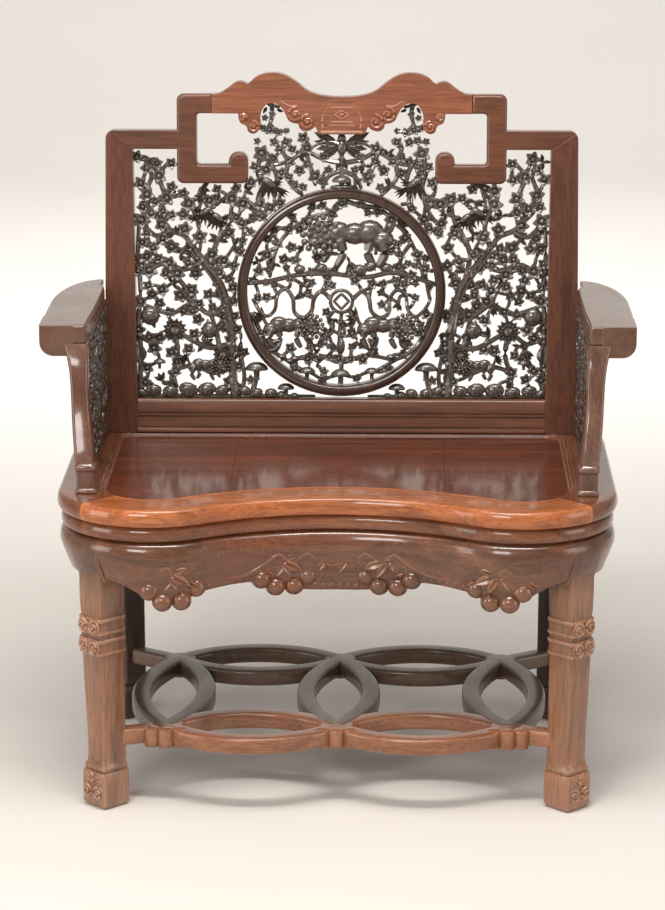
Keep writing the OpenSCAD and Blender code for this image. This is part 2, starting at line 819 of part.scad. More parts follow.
// Five-petalled flower, as a line that swells and narrows five times
module blossom(at, r) {
    translate(at)
        polygon([for (a = [0:18:342]) r * (0.84 + 0.16 * cos(5 * a)) * [sin(a), cos(a)]]);
}

// A branch with a flower on alternate sides at every second bend
module flowering(pts, w0, w1, r) {
    branch(pts, w0, w1);
    for (i = [1:len(pts) - 1]) {
        side = side_of(pts, i) * (i % 2 == 0 ? 1 : -1);
        blossom(pts[i] + side * r * 0.8, r);
    }
}

module daisy(at, r) {
    translate(at)
        polygon([for (a = [0:7.5:352.5]) r * (0.94 + 0.06 * cos(12 * a)) * [cos(a), sin(a)]]);
}

module leaf(at, a, l) {
    translate(at) rotate(a) intersection() {
        translate([l / 2, l * 0.45]) circle(l * 0.72, $fn = 20);
        translate([l / 2, -l * 0.45]) circle(l * 0.72, $fn = 20);
    }
}

module bird(at, a, l) {
    translate(at) rotate(a) {
        polygon([[0, 0], [l * 0.25, l * 0.16], [l * 0.55, l * 0.1], [l, l * 0.02], [l * 0.55, -l * 0.06],
                 [l * 0.3, -l * 0.12]]);
        translate([-l * 0.06, l * 0.04]) circle(l * 0.11, $fn = 10);
        polygon([[l * 0.2, 0], [l * 0.3, l * 0.4], [l * 0.5, l * 0.5], [l * 0.5, 0]]);
    }
}

// Right-hand board: a tree that rises from rocks at the foot
module tree() {
    branch([[196, 60], [199, 100], [190, 150], [205, 200], [222, 250], [232, 300], [214, 350], [204, 398]],
           16, 8);
    flowering([[222, 250], [250, 264], [290, 250], [318, 262], [334, 256]], 10, 6, 12);
    flowering([[232, 300], [262, 330], [296, 345], [322, 372], [330, 408], [322, 436], [318, 454]],
              10, 6, 11);
    flowering([[262, 330], [276, 356], [296, 392], [300, 424], [298, 452]], 8, 6, 11);
    flowering([[205, 200], [250, 196], [276, 210], [300, 200], [336, 204]], 9, 6, 13);
    flowering([[190, 150], [230, 146], [280, 168], [312, 150], [334, 158]], 9, 6, 12);
    flowering([[199, 100], [240, 96], [262, 112], [304, 104], [334, 112]], 9, 6, 12);
    branch([[280, 168], [276, 130], [282, 90], [270, 62]], 9, 8);
    flowering([[214, 350], [206, 386], [186, 396]], 7, 6, 11);
    flowering([[214, 350], [240, 366], [256, 388], [262, 402]], 7, 6, 11);
    branch([[334, 256], [336, 300], [326, 340], [322, 372]], 8, 6);
    branch([[190, 150], [176, 110], [180, 62]], 9, 8);
    daisy([278, 170], 20);
    daisy([196, 131], 16);
    for (l = [[310, 200, 60, 34], [312, 150, 100, 34], [224, 176, 20, 26], [206, 214, 120, 24]])
        leaf([l[0], l[1]], l[2], l[3]);
    bird([250, 318], 30, 42);
    translate([172, rail_h]) square([168, 7]);
    for (c = [[196, 66, 13], [262, 68, 18], [300, 64, 16]]) translate([c[0], c[1]]) circle(c[2], $fn = 12);
}

// Spray above the medallion, right half of the middle board
module spray() {
    flowering([[0, 420], [30, 424], [66, 420], [104, 432], [140, 410], [164, 384]], 10, 8, 12);
    flowering([[66, 420], [84, 446], [60, 480], [30, 486], [0, 484]], 8, 7, 11);
    flowering([[104, 432], [126, 462], [118, 488]], 8, 6, 10);
    branch([[164, 384], [160, 356], [168, 330]], 9, 8);
    branch([[104, 432], [112, 396], [124, 370]], 8, 8);
    bird([112, 404], 40, 42);
    translate([0, 418]) circle(14, $fn = 12);
}

// Small tufts between the medallion and the rail
module foot_tuft() {
    branch([[158, 60], [162, 92], [168, 130], [169, 160]], 10, 8);
    for (c = [[150, 66, 12], [128, 62, 9], [160, 92, 10]]) translate([c[0], c[1]]) circle(c[2], $fn = 12);
    translate([60, rail_h]) square([111, 6]);
}

// Tongue along the lower edge of a board
module board_tongue(x0, x1) {
    translate([x0, board_y + 4, rail_h - 6 + fit]) cube([x1 - x0, board_t - 8, 12]);
}

module medallion_hole() {
    translate([0, medallion_h]) circle(medallion_r + fit, $fn = 180);
}

module back_board(s) {
    lean() mirrored(s) difference() {
        union() {
            plate(board_y, board_y + board_t) offset(delta = 0.4) intersection() {
                tree();
                translate([seam_x + 0.8, rail_h + 0.5]) square([post_in[0] - seam_x - 1.6, 405]);
            }
            board_tongue(seam_x + 1, post_in[0] - 1);
        }
        plate(0, back_t) medallion_hole();
    }
}

module back_board_left() { color(rosewood_dark) back_board(left); }
module back_board_right() { color(rosewood_dark) back_board(right); }

module back_board_centre() {
    color(rosewood_dark) lean() difference() {
        union() {
            plate(board_y, board_y + board_t) offset(delta = 0.4) intersection() {
                for (s = [left, right]) scale([s, 1]) {
                    spray();
                    foot_tuft();
                }
                translate([-seam_x + 0.4, rail_h + 0.5]) square([2 * seam_x - 0.8, 440]);
            }
            board_tongue(-seam_x + 1, seam_x - 1);
        }
        plate(0, back_t) medallion_hole();
    }
}

module medallion_frame() {
    color(rosewood) lean() translate([0, medallion_depth - 2, medallion_h]) rotate([90, 0, 0])
        rotate_extrude($fn = 180) translate([medallion_r - medallion_band, 0]) difference() {
            square([medallion_band, medallion_depth]);
            // groove for the carved disc
            translate([-1, medallion_depth - 2 - board_y - board_t + 4 - fit])
                square([6 + fit, board_t - 8 + 2 * fit]);
        }
}

module lion(at, s) {
    translate(at) scale([s, 1]) {
        circle(24, $fn = 16);
        translate([34, 4]) scale([1.6, 1]) circle(20, $fn = 16);
        polygon([[52, -4], [66, -34], [54, -36], [38, -8]]);
        polygon([[10, -8], [12, -40], [24, -40], [32, -8]]);
        branch([[60, 10], [76, 22], [70, 38]], 12, 6);
    }
}

// Disc carved with three beasts, ribbons and a ringed disc
module medallion_art() {
    inner = medallion_r - medallion_band;
    difference() {
        circle(inner + 1, $fn = 90);
        circle(inner - 5, $fn = 90);
    }
    lion([-22, 68], 1);
    lion([-52, -58], 1);
    lion([70, -56], -1);
    difference() {
        circle(13, $fn = 24);
        square(9, center = true);
    }
    branch([[-154, 20], [-110, 10], [-60, 24], [0, 14], [60, 24], [110, 8], [154, 18]], 9, 9);
    branch([[-150, -40], [-120, -14], [-90, -34], [-60, -8], [-30, -26], [0, -10]], 8, 7);
    branch([[150, -40], [120, -10], [90, -34], [60, -6], [30, -26], [0, -10]], 8, 7);
    branch([[-140, 70], [-100, 60], [-60, 84], [-20, 60], [30, 62], [90, 80], [140, 64]], 9, 8);
    branch([[-120, -96], [-70, -80], [-20, -100], [30, -82], [90, -100], [124, -92]], 9, 9);
    branch([[0, -154], [10, -110], [0, -60], [0, -10]], 10, 8);
    branch([[-90, 122], [-50, 112], [0, 128], [50, 112], [96, 118]], 9, 8);
    branch([[0, 154], [4, 120], [-10, 90]], 9, 8);
    branch([[-80, 134], [-96, 90], [-120, 30], [-124, -30], [-110, -106]], 8, 8);
    branch([[80, 134], [100, 90], [118, 30], [124, -30], [106, -112]], 8, 8);
    for (k = [0:9]) blossom([134 * cos(36 * k + 14), 134 * sin(36 * k + 14)], 13);
    for (x = [-84, -44, 0, 46, 86]) translate([x, -116 + abs(x) / 12]) circle(15, $fn = 12);
}

module medallion_carving() {
    inner = medallion_r - medallion_band;
    color(rosewood_dark) lean() translate([0, 0, medallion_h]) {
        plate(board_y, board_y + board_t) intersection() {
            offset(delta = 0.4) medallion_art();
            circle(inner - fit, $fn = 180);
        }
        plate(board_y + 4, board_y + board_t - 4) difference() {
            circle(inner + 5, $fn = 180);
            circle(inner - 4, $fn = 180);
        }
    }
}

// Two small openwork pieces that fill the arches under the crest
module crest_pendants() {
    color(rosewood_dark) lean() plate(board_y, board_y + board_t) offset(delta = 0.4)
    for (s = [left, right]) scale([s, 1]) {
        intersection() {
            union() {
                branch([[118, 549], [114, 530], [122, 508]], 9, 8);
                branch([[84, 504], [100, 516], [122, 508], [138, 516]], 8, 8);
                branch([[114, 530], [100, 538]], 6, 5);
                branch([[114, 530], [126, 540]], 6, 5);
                for (b = [[104, 509, 11], [122, 508, 10], [115, 530, 8]]) blossom([b[0], b[1]], b[2]);
            }
            polygon([[82, 496], [134, 496], [134, 526], [130, 540], [118, 551.3], [106, 549], [90, 530]]);
        }
        branch([[118, 508], [116, 494]], 8, 8);
    }
}

// ---------------------------------------------------------------- arms

arm_in = 400;
arm_out = 467;
arm_front_y = -130;

// Plan of the right-hand arm: straight outside, then a long curve in to the post
module arm_plan() {
    polygon(concat([[arm_in, arm_front_y], [arm_out - 4, arm_front_y], [arm_out - 1, arm_front_y + 4]],
                   [for (a = [0:9:90]) [arm_out - 71 + 71 * cos(a), 60 + 190 * sin(a)]],
                   [[374, 250], [374, 206], [384, 196], [394, 172], [arm_in, 130]]));
}

module arm_rest() {
    difference() {
        union() {
            translate([0, 0, arm_z - arm_t]) linear_extrude(arm_t) arm_plan();
            // the rolled front end
            intersection() {
                translate([0, 0, arm_z - arm_drop]) linear_extrude(arm_drop) arm_plan();
                translate([(arm_in + arm_out) / 2, arm_front_y + 40, arm_z - arm_drop + 14])
                    rotate([90, 0, 0]) linear_extrude(160, center = true)
                        offset(14) square([arm_out - arm_in - 28, arm_drop], center = true);
                translate([430, arm_front_y - 1, arm_z - arm_drop]) cube([80, 70, arm_drop]);
            }
        }
        lean() plate(-fit, back_t + fit) translate([-5, 0])
            polygon([[post_in[0], 0], [post_out[0] + 5 + fit, 0],
                     [post_out[1] + 5 + fit, post_h], [post_in[1], post_h]]);
        arm_support_tenon(fit);
        arm_panel_tongue(fit);
    }
    arm_rest_tenon(0);
}

// Tenon from the arm into the front of the post
module arm_rest_tenon(g) {
    translate([377 - g, 232, arm_z - arm_t + 8 - g]) cube([10 + 2 * g, 26 + g, 14 + 2 * g]);
}

module arm_rest_left() { color(rosewood) mirrored(left) arm_rest(); }
module arm_rest_right() { color(rosewood) arm_rest(); }

// Sections of the support: height, middle across, front face, width, depth
function support_sections() = [
    [seat_z, 392, -191, 34, 46], [seat_z + 4, 392, -191, 34, 46], [seat_z + 8, 392, -189, 31, 43],
    [seat_z + 36, 393, -187, 31, 42], [seat_z + 40, 393, -189, 34, 45], [seat_z + 46, 394, -189, 34, 45],
    [seat_z + 50, 395, -184, 30, 40], [580, 398, -170, 30, 38],
    [610, 401, -158, 29, 36], [640, 403, -150, 28, 34],
    [670, 404, -148, 28, 36], [700, 406, -142, 32, 42], [716, 408, -135, 36, 50],
    [arm_z - arm_t - fit, 411, -129.5, 37, 56]];

function support_ring(s) = let (w = s[3] / 2)
    [[s[1] - w, s[2], s[0]], [s[1] + w, s[2], s[0]],
     [s[1] + w, s[2] + s[4], s[0]], [s[1] - w, s[2] + s[4], s[0]]];

module arm_support() {
    difference() {
        skin([for (s = support_sections()) each support_ring(s)]);
        arm_panel_tongue(fit);
    }
    arm_support_tenon(0);
    arm_foot_tenon(0);
}

module arm_support_tenon(g) {
    translate([402 - g, -116 - g, arm_z - arm_t - 10]) cube([18 + 2 * g, 22 + 2 * g, 26 + g]);
}

module arm_foot_tenon(g) {
    translate([384 - g, -180 - g, seat_z - 18 - g]) cube([16 + 2 * g, 24 + 2 * g, 24]);
}

module arm_foot_tenons(g) {
    for (s = [left, right]) mirrored(s) arm_foot_tenon(g);
}

module arm_support_left() { color(rosewood_worn) mirrored(left) arm_support(); }
module arm_support_right() { color(rosewood_worn) arm_support(); }

panel_x = 389;
panel_thick = 12;
function panel_front(z) = lookup(z, [for (s = support_sections()) [s[0], s[2] + s[4]]]);
function panel_rear(z) = back_y + (z - seat_z) * tan(back_lean);

// Openwork between support, seat, post and arm, drawn as depth and height
module arm_panel_plan() {
    low = seat_z + 0.3;
    high = arm_z - arm_t - 0.3;
    difference() {
        polygon(concat([for (z = [low, 550, 580, 610, 640, 670, 700, high]) [panel_front(z) + 0.6, z]],
                       [[panel_rear(high) - 0.6, high], [panel_rear(low) - 0.6, low]]));
        for (h = panel_holes()) offset(8) offset(-8) polygon(smooth(concat(h, [h[0]]), 4));
    }
}

function panel_holes() = [
    [[-120, 560], [-80, 530], [-30, 520], [-10, 545], [-50, 570], [-100, 600]],
    [[-110, 630], [-70, 600], [-30, 610], [-40, 650], [-90, 690], [-112, 670]],
    [[10, 530], [60, 520], [90, 545], [60, 580], [20, 575]],
    [[0, 600], [50, 600], [70, 640], [30, 680], [-20, 690], [-10, 640]],
    [[110, 530], [170, 518], [210, 540], [200, 580], [140, 575]],
    [[95, 600], [150, 600], [210, 610], [208, 660], [150, 690], [90, 690], [100, 640]]];

module arm_panel() {
    translate([panel_x, 0, 0]) rotate([90, 0, 90]) linear_extrude(panel_thick) arm_panel_plan();
    arm_panel_tongue(0);
}

// Tongues of the panel in the support, the post and the arm
module arm_panel_tongue(g) {
    x = panel_x + 3.5 - g;
    w = 5 + 2 * g;
    translate([x, -138, 600 - g]) cube([w, 30, 70 + 2 * g]);
    translate([x, panel_rear(600) - 8, 560 - g]) cube([w, 18 + g, 70 + 2 * g]);
    translate([panel_x + 8 - 2 * g, -g, arm_z - arm_t - 8]) cube([4 + 2 * g, 120 + 2 * g, 14 + g]);
}

module arm_panel_left() { color(rosewood_dark) mirrored(left) arm_panel(); }
module arm_panel_right() { color(rosewood_dark) arm_panel(); }

leg_front_left();
leg_front_right();
leg_rear_left();
leg_rear_right();
seat_frame_front();
seat_frame_rear();
seat_frame_left();
seat_frame_right();
seat_board_left();
seat_board_centre();
seat_board_right();
seat_batten_front();
seat_batten_rear();
waist_front();
waist_rear();
waist_left();
waist_right();
apron_front();
apron_rear();
apron_left();
apron_right();
lattice_ring_left();
lattice_ring_centre();
lattice_ring_right();
lattice_lens_front_left();
lattice_lens_front_right();
lattice_lens_rear_left();
lattice_lens_rear_right();
lattice_arm_front_left();
lattice_arm_front_right();
lattice_arm_rear_left();
lattice_arm_rear_right();
lattice_knuckle_left();
lattice_knuckle_centre();
lattice_knuckle_right();
lattice_hub_left();
lattice_hub_centre();
lattice_hub_right();
back_post_left();
back_post_right();
back_bottom_rail();
step_rail_left();
step_rail_right();
hook_scroll_left();
hook_scroll_right();
crest_rail();
crest_pendants();
back_board_left();
back_board_centre();
back_board_right();
medallion_frame();
medallion_carving();
arm_rest_left();
arm_rest_right();
arm_support_left();
arm_support_right();
arm_panel_left();
arm_panel_right();
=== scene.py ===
"""Looks of a carved rosewood double armchair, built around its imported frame.

Every piece is in metres in the frame's own axes: X across, the front towards -Y, Z up.
The back leans, so its pieces are drawn across, through and up, and then laid on the leaning plane.
"""

import logging
import random
from dataclasses import dataclass
from enum import Enum
from math import asin, atan2, cos, degrees, hypot, radians, sin, sqrt, tan, tau
from typing import Callable, Iterable, Sequence

import bmesh
import bpy
from bmesh.types import BMEdge, BMesh, BMVert
from mathutils import Matrix, Vector


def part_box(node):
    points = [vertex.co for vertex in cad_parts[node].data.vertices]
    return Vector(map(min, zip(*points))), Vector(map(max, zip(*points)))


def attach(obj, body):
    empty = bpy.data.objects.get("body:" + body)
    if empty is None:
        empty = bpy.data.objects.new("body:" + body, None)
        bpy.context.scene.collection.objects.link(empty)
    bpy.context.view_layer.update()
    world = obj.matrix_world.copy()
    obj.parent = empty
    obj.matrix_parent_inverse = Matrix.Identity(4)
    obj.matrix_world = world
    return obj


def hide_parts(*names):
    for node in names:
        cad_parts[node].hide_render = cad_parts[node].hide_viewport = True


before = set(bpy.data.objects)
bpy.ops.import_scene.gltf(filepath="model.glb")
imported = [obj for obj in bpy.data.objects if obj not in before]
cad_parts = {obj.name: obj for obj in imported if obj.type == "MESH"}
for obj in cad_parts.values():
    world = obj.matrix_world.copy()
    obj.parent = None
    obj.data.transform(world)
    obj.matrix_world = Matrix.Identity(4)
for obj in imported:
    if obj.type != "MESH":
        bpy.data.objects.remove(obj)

log = logging.getLogger("chair")

MM = 0.001
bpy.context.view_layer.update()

Plan = list[tuple[float, float]]
Loop = list[Vector]
Colour = tuple[float, float, float]
Socket = bpy.types.NodeSocket


class Half(Enum):
    """A named half of the chair."""

    @property
    def word(self) -> str:
        """The half's name as the frame's nodes spell it."""
        return self.name.lower()


class Side(Half):
    """Left or right, with the sign of X."""

    LEFT = -1
    RIGHT = 1


class Row(Half):
    """Front or rear, with the sign of Y."""

    FRONT = -1
    REAR = 1


class Grain(Enum):
    """The axis that the wood's grain runs along."""

    ACROSS = (1.0, 0.0, 0.0)
    DEEP = (0.0, 1.0, 0.0)
    UP = (0.0, 0.0, 1.0)


# Finishes


class NodeSketch:
    """A short way to lay out a material's nodes."""

    def __init__(self, name: str) -> None:
        """Starts an empty node material called name."""
        self.material = bpy.data.materials.new(name)
        self.material.use_nodes = True
        self.tree = self.material.node_tree
        self.tree.nodes.clear()

    def add(self, kind: str, values: dict | None = None, **settings: object) -> bpy.types.Node:
        """Adds a node.

        Args:
            kind: The node's type name, without its ShaderNode prefix.
            values: Socket values or links, by socket name or number.
            settings: Properties of the node itself.

        Returns:
            The new node.
        """
        node = self.tree.nodes.new("ShaderNode" + kind)
        for key, value in settings.items():
            setattr(node, key, value)
        for key, value in (values or {}).items():
            if isinstance(value, Socket):
                self.tree.links.new(value, node.inputs[key])
            else:
                node.inputs[key].default_value = value
        return node

    def ramp(self, factor: Socket, stops: Sequence[tuple[float, Colour]]) -> Socket:
        """Adds a colour ramp through (position, colour) stops and returns its colour."""
        node = self.add("ValToRGB", {"Fac": factor})
        elements = node.color_ramp.elements
        while len(elements) < len(stops):
            elements.new(0.5)
        for element, (position, colour) in zip(elements, stops):
            element.position = position
            element.color = (*colour, 1.0)
        return node.outputs["Color"]

    def mix(self, factor: object, a: object, b: object, blend: str = "MIX") -> Socket:
        """Mixes two colours, each a socket or a plain colour, and returns the result."""
        node = self.add("Mix", data_type="RGBA", blend_type=blend)
        for number, value in ((0, factor), (6, a), (7, b)):
            if isinstance(value, Socket):
                self.tree.links.new(value, node.inputs[number])
            elif number:
                node.inputs[number].default_value = (*value, 1.0)
            else:
                node.inputs[number].default_value = value
        return node.outputs[2]

    def span(self, value: Socket, low: float, high: float, to_low: float, to_high: float) -> Socket:
        """Maps a value from low..high to to_low..to_high, clamped, and returns the socket."""
        node = self.add("MapRange", {0: value, 1: low, 2: high, 3: to_low, 4: to_high})
        return node.outputs[0]

    def noise(self, vector: Socket, scale: float, detail: float, distortion: float = 0.0) -> Socket:
        """Adds a noise texture and returns its value."""
        values = {"Vector": vector, "Scale": scale, "Detail": detail, "Distortion": distortion}
        return self.add("TexNoise", values).outputs["Fac"]


@dataclass(frozen=True)
class WoodFinish:
    """Lacquered rosewood: stretched figure, fine pores, blotches, worn edges, painted shade in hollows and a
    thin clear coat.
    """

    name: str
    slot: str
    grain: Grain
    dark: Colour
    light: Colour
    warm: Colour
    rough: tuple[float, float] = (0.24, 0.42)
    coat: float = 0.5
    coat_rough: float = 0.16
    wear: float = 0.35
    bump: float = 0.25
    specular: float = 0.25

    def stretched(self, sketch: NodeSketch, along: float, across: float) -> Socket:
        """Object coordinates scaled by along on the grain's axis and by across on the others."""
        place = sketch.add("TexCoord").outputs["Object"]
        scale = [across + (along - across) * part for part in self.grain.value]
        return sketch.add("Mapping", {"Vector": place, "Scale": scale}).outputs["Vector"]

    def colour(self, sketch: NodeSketch, figure: Socket, pores: Socket) -> Socket:
        """The wood's colour from its figure and pores.

        Args:
            sketch: The material being laid out.
            figure: Value of the broad grain.
            pores: Value of the fine grain.

        Returns:
            The colour socket.
        """
        middle = tuple((a + b) / 2 for a, b in zip(self.dark, self.light))
        base = sketch.ramp(figure, [(0.3, self.dark), (0.5, middle), (0.72, self.light)])
        blotch = sketch.noise(sketch.add("TexCoord").outputs["Object"], 4.5, 3.0, 0.6)
        base = sketch.mix(sketch.span(blotch, 0.42, 0.68, 0.0, 0.6), base, self.warm)
        shade = sketch.ramp(pores, [(0.36, (0.42, 0.38, 0.36)), (0.56, (1.0, 1.0, 1.0))])
        base = sketch.mix(0.6, base, shade, "MULTIPLY")
        edge = sketch.add("NewGeometry").outputs["Pointiness"]
        paler = tuple(min(1.0, part * 1.9 + 0.02) for part in self.light)
        base = sketch.mix(sketch.span(edge, 0.515, 0.6, 0.0, self.wear), base, paler)
        # Painted shade: where Pointiness is low, in hollows and creases, the colour is mixed towards a darker
        # tone as if shadowed.
        darker = tuple(part * 0.4 for part in self.dark)
        return self.tinted(sketch, sketch.mix(sketch.span(edge, 0.485, 0.42, 0.0, 0.7), base, darker))

    def tinted(self, sketch: NodeSketch, base: Socket) -> Socket:
        """The wood's colour after any painted light and shade that a subclass lays on; plain wood keeps its
        own.
        """
        return base

    def hand_work(self, sketch: NodeSketch, bump: bpy.types.Node) -> None:
        """Adds relief under the grain's own; planed wood has none."""

    def material(self) -> bpy.types.Material:
        """The finish as a material, made once."""
        made = bpy.data.materials.get(self.name)
        if made:
            return made
        sketch = NodeSketch(self.name)
        figure = sketch.noise(self.stretched(sketch, 1.6, 19.0), 1.9, 6.0, 1.1)
        pores = sketch.noise(self.stretched(sketch, 22.0, 420.0), 1.0, 3.0)
        wipe = sketch.noise(sketch.add("TexCoord").outputs["Object"], 9.0, 4.0)
        relief = sketch.add("Math", {0: figure, 1: pores}, operation="ADD").outputs[0]
        bump = sketch.add("Bump", {"Strength": self.bump, "Distance": 0.0004, "Height": relief})
        self.hand_work(sketch, bump)
        shader = sketch.add(
            "BsdfPrincipled",
            {
                "Base Color": self.colour(sketch, figure, pores),
                "Roughness": sketch.span(wipe, 0.3, 0.7, *self.rough),
                "Normal": bump.outputs["Normal"],
                "Specular IOR Level": self.specular,
                "Coat Weight": self.coat,
                "Coat Roughness": self.coat_rough,
            },
        )
        sketch.add("OutputMaterial", {"Surface": shader.outputs["BSDF"]})
        return sketch.material


@dataclass(frozen=True)
class ShadedFinish(WoodFinish):
    """Wood with painted shade: darker above a height, worn edges dimmed too, where the seat's shadow falls.
    """

    above: float = 0.35
    blend: float = 0.05
    seat_shadow_tint: Colour = (0.42, 0.36, 0.34)

    def tinted(self, sketch: NodeSketch, base: Socket) -> Socket:
        """The wood's colour, with painted shade above the height."""
        place = sketch.add("TexCoord").outputs["Object"]
        height = sketch.add("SeparateXYZ", {0: place}).outputs["Z"]
        # Painted shade: above the height the colour is multiplied by the seat's shadow tint.
        seat_shadow_share = sketch.span(height, self.above, self.above + self.blend, 0.0, 1.0)
        return sketch.mix(seat_shadow_share, base, sketch.mix(1.0, base, self.seat_shadow_tint, "MULTIPLY"))


@dataclass(frozen=True)
class CarvedFinish(WoodFinish):
    """Dark polished carving with painted light: paler and greyer where it stands proud of the board."""

    low: float = 0.0
    high: float = 1.0
    facing: tuple[float, float, float] = (0.0, -1.0, 0.0)
    raised_light_tint: Colour = (0.085, 0.068, 0.053)
    chisel: float = 0.0016

    def hand_work(self, sketch: NodeSketch, bump: bpy.types.Node) -> None:
        """Adds the veins and hollows left by the chisel, under the grain."""
        place = sketch.add("TexCoord").outputs["Object"]
        marks = sketch.noise(place, 150.0, 2.0, 1.6)
        cut = sketch.add("Bump", {"Strength": 0.85, "Distance": self.chisel, "Height": marks})
        sketch.tree.links.new(cut.outputs["Normal"], bump.inputs["Normal"])

    def tinted(self, sketch: NodeSketch, base: Socket) -> Socket:
        """The carving's colour, with painted light making the raised parts paler."""
        place = sketch.add("TexCoord").outputs["Object"]
        reach = sketch.add("VectorMath", {0: place, 1: self.facing},
            operation="DOT_PRODUCT").outputs["Value"]
        # Painted light: the further a point stands towards the front, the more it is mixed towards a pale lit
        # tone; the depths stay dark as if shaded.
        raised = sketch.span(reach, self.low, self.high, 0.0, 0.75)
        mottle = sketch.span(sketch.noise(place, 60.0, 3.0), 0.35, 0.65, 0.35, 1.0)
        factor = sketch.add("Math", {0: raised, 1: mottle}, operation="MULTIPLY").outputs[0]
        return sketch.mix(factor, base, self.raised_light_tint)


LEAN = radians(4.0)
BACK_SEAT_Z = 0.5
BACK_THICK = 0.034
CREST_HEIGHT = 0.6025
BACK_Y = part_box("crest_rail")[1].y - BACK_THICK * cos(LEAN) - CREST_HEIGHT * sin(LEAN)
BACK_PLACE = Matrix.Translation((0.0, BACK_Y, BACK_SEAT_Z)) @ Matrix.Rotation(-LEAN, 4, "X")
OUTWARD = tuple(BACK_PLACE.to_3x3() @ Vector((0.0, -1.0, 0.0)))
BOARD_MID = 0.017


def facing_depth(through: float) -> float:
    """How far towards the front a depth of the leaning back lies, measured along its face's normal."""
    return Vector(OUTWARD).dot(BACK_PLACE @ Vector((0.0, through, 0.0)))


UPRIGHT = WoodFinish("rosewood_upright", "rosewood", Grain.UP, (0.052, 0.019, 0.01), (0.125, 0.043, 0.021),
    (0.11, 0.031, 0.013), wear=0.3)
CROSSWISE = WoodFinish("rosewood_crosswise", "rosewood", Grain.ACROSS, (0.055, 0.021, 0.011),
    (0.14, 0.051, 0.025), (0.12, 0.035, 0.015), wear=0.3)
CREST_WOOD = WoodFinish("worn_crest", "worn_rosewood", Grain.ACROSS, (0.11, 0.038, 0.02),
    (0.27, 0.1, 0.052), (0.21, 0.061, 0.026), (0.26, 0.42), 0.5)
FRONT_FRAME = WoodFinish("worn_seat_edge", "worn_rosewood", Grain.ACROSS, (0.17, 0.047, 0.015),
    (0.5, 0.165, 0.052), (0.42, 0.11, 0.028), (0.2, 0.34), 0.6, 0.09)
LEG_WOOD = ShadedFinish("worn_leg", "worn_rosewood", Grain.UP, (0.12, 0.06, 0.036), (0.33, 0.17, 0.1),
    (0.3, 0.125, 0.058), (0.24, 0.4), 0.6, 0.13)
SUPPORT_WOOD = WoodFinish("worn_support", "worn_rosewood", Grain.UP, (0.06, 0.029, 0.019),
    (0.16, 0.078, 0.047), (0.13, 0.046, 0.026), (0.2, 0.36), 0.8, 0.1)
REAR_LEG_WOOD = WoodFinish("rear_leg", "rosewood", Grain.UP, (0.03, 0.017, 0.012), (0.066, 0.032, 0.021),
    (0.055, 0.024, 0.015))
ARM_WOOD = WoodFinish("arm_top", "arm_rosewood", Grain.DEEP, (0.05, 0.022, 0.012), (0.12, 0.055, 0.03),
    (0.1, 0.036, 0.018), (0.24, 0.38), 1.0, 0.17)
SEAT_WOOD = WoodFinish("seat_panel", "seat_rosewood", Grain.ACROSS, (0.045, 0.012, 0.006),
    (0.18, 0.045, 0.018), (0.15, 0.03, 0.01), (0.2, 0.32), 0.75, 0.11, wear=0.0, bump=0.3)
SIDE_FRAME = WoodFinish("seat_edge_side", "rosewood", Grain.DEEP, (0.08, 0.027, 0.012),
    (0.23, 0.08, 0.034), (0.19, 0.052, 0.019), (0.2, 0.34), 0.65, 0.1)
WAIST_WOOD = WoodFinish("waist", "rosewood", Grain.ACROSS, (0.085, 0.03, 0.014), (0.24, 0.088, 0.038),
    (0.2, 0.056, 0.021), (0.2, 0.34), 0.65, 0.1)
APRON_WOOD = WoodFinish("apron", "apron_rosewood", Grain.ACROSS, (0.065, 0.026, 0.014),
    (0.2, 0.078, 0.038), (0.18, 0.05, 0.02), (0.2, 0.36), 0.75, 0.1)
APRON_SIDE = WoodFinish("apron_side", "apron_rosewood", Grain.DEEP, (0.065, 0.026, 0.014),
    (0.18, 0.072, 0.036), (0.16, 0.048, 0.02), (0.2, 0.36), 0.75, 0.1)
LATTICE_FRONT = WoodFinish("lattice_front", "lattice_rosewood", Grain.ACROSS, (0.13, 0.05, 0.026),
    (0.31, 0.135, 0.07), (0.26, 0.09, 0.038), (0.24, 0.4), 0.55)
LATTICE_DARK = WoodFinish("lattice_dark", "lattice_rosewood", Grain.DEEP, (0.062, 0.038, 0.025),
    (0.125, 0.08, 0.052), (0.1, 0.054, 0.032), (0.3, 0.46), 0.4)
# The carving's raised parts get painted light between the two depths given last here.
CARVED = CarvedFinish("carved_relief", "carved_openwork", Grain.UP, (0.013, 0.008, 0.0055),
    (0.04, 0.025, 0.017), (0.042, 0.022, 0.013), (0.14, 0.26), 1.0, 0.09, 0.5, 0.3, 0.5,
    facing_depth(BOARD_MID + 0.002), facing_depth(BOARD_MID - 0.012), OUTWARD)
RING_WOOD = WoodFinish("medallion_ring", "rosewood", Grain.UP, (0.024, 0.013, 0.0085), (0.06, 0.031, 0.02),
    (0.05, 0.023, 0.013), (0.16, 0.3), 0.8, 0.1)
PANEL_WOOD = CarvedFinish("arm_carving", "carved_openwork", Grain.UP, (0.014, 0.009, 0.006),
    (0.045, 0.027, 0.018), (0.04, 0.02, 0.012), (0.16, 0.3), 0.8, 0.1, 0.5, 0.3, 0.4, 9.0, 10.0)
UNSEEN_WOOD = WoodFinish("batten", "unseen_rosewood", Grain.ACROSS, (0.05, 0.03, 0.022),
    (0.1, 0.06, 0.043), (0.08, 0.045, 0.03), (0.5, 0.7), 0.0)


# Shaping tools

FACE_FRONT = Matrix.Rotation(radians(90), 4, "X")


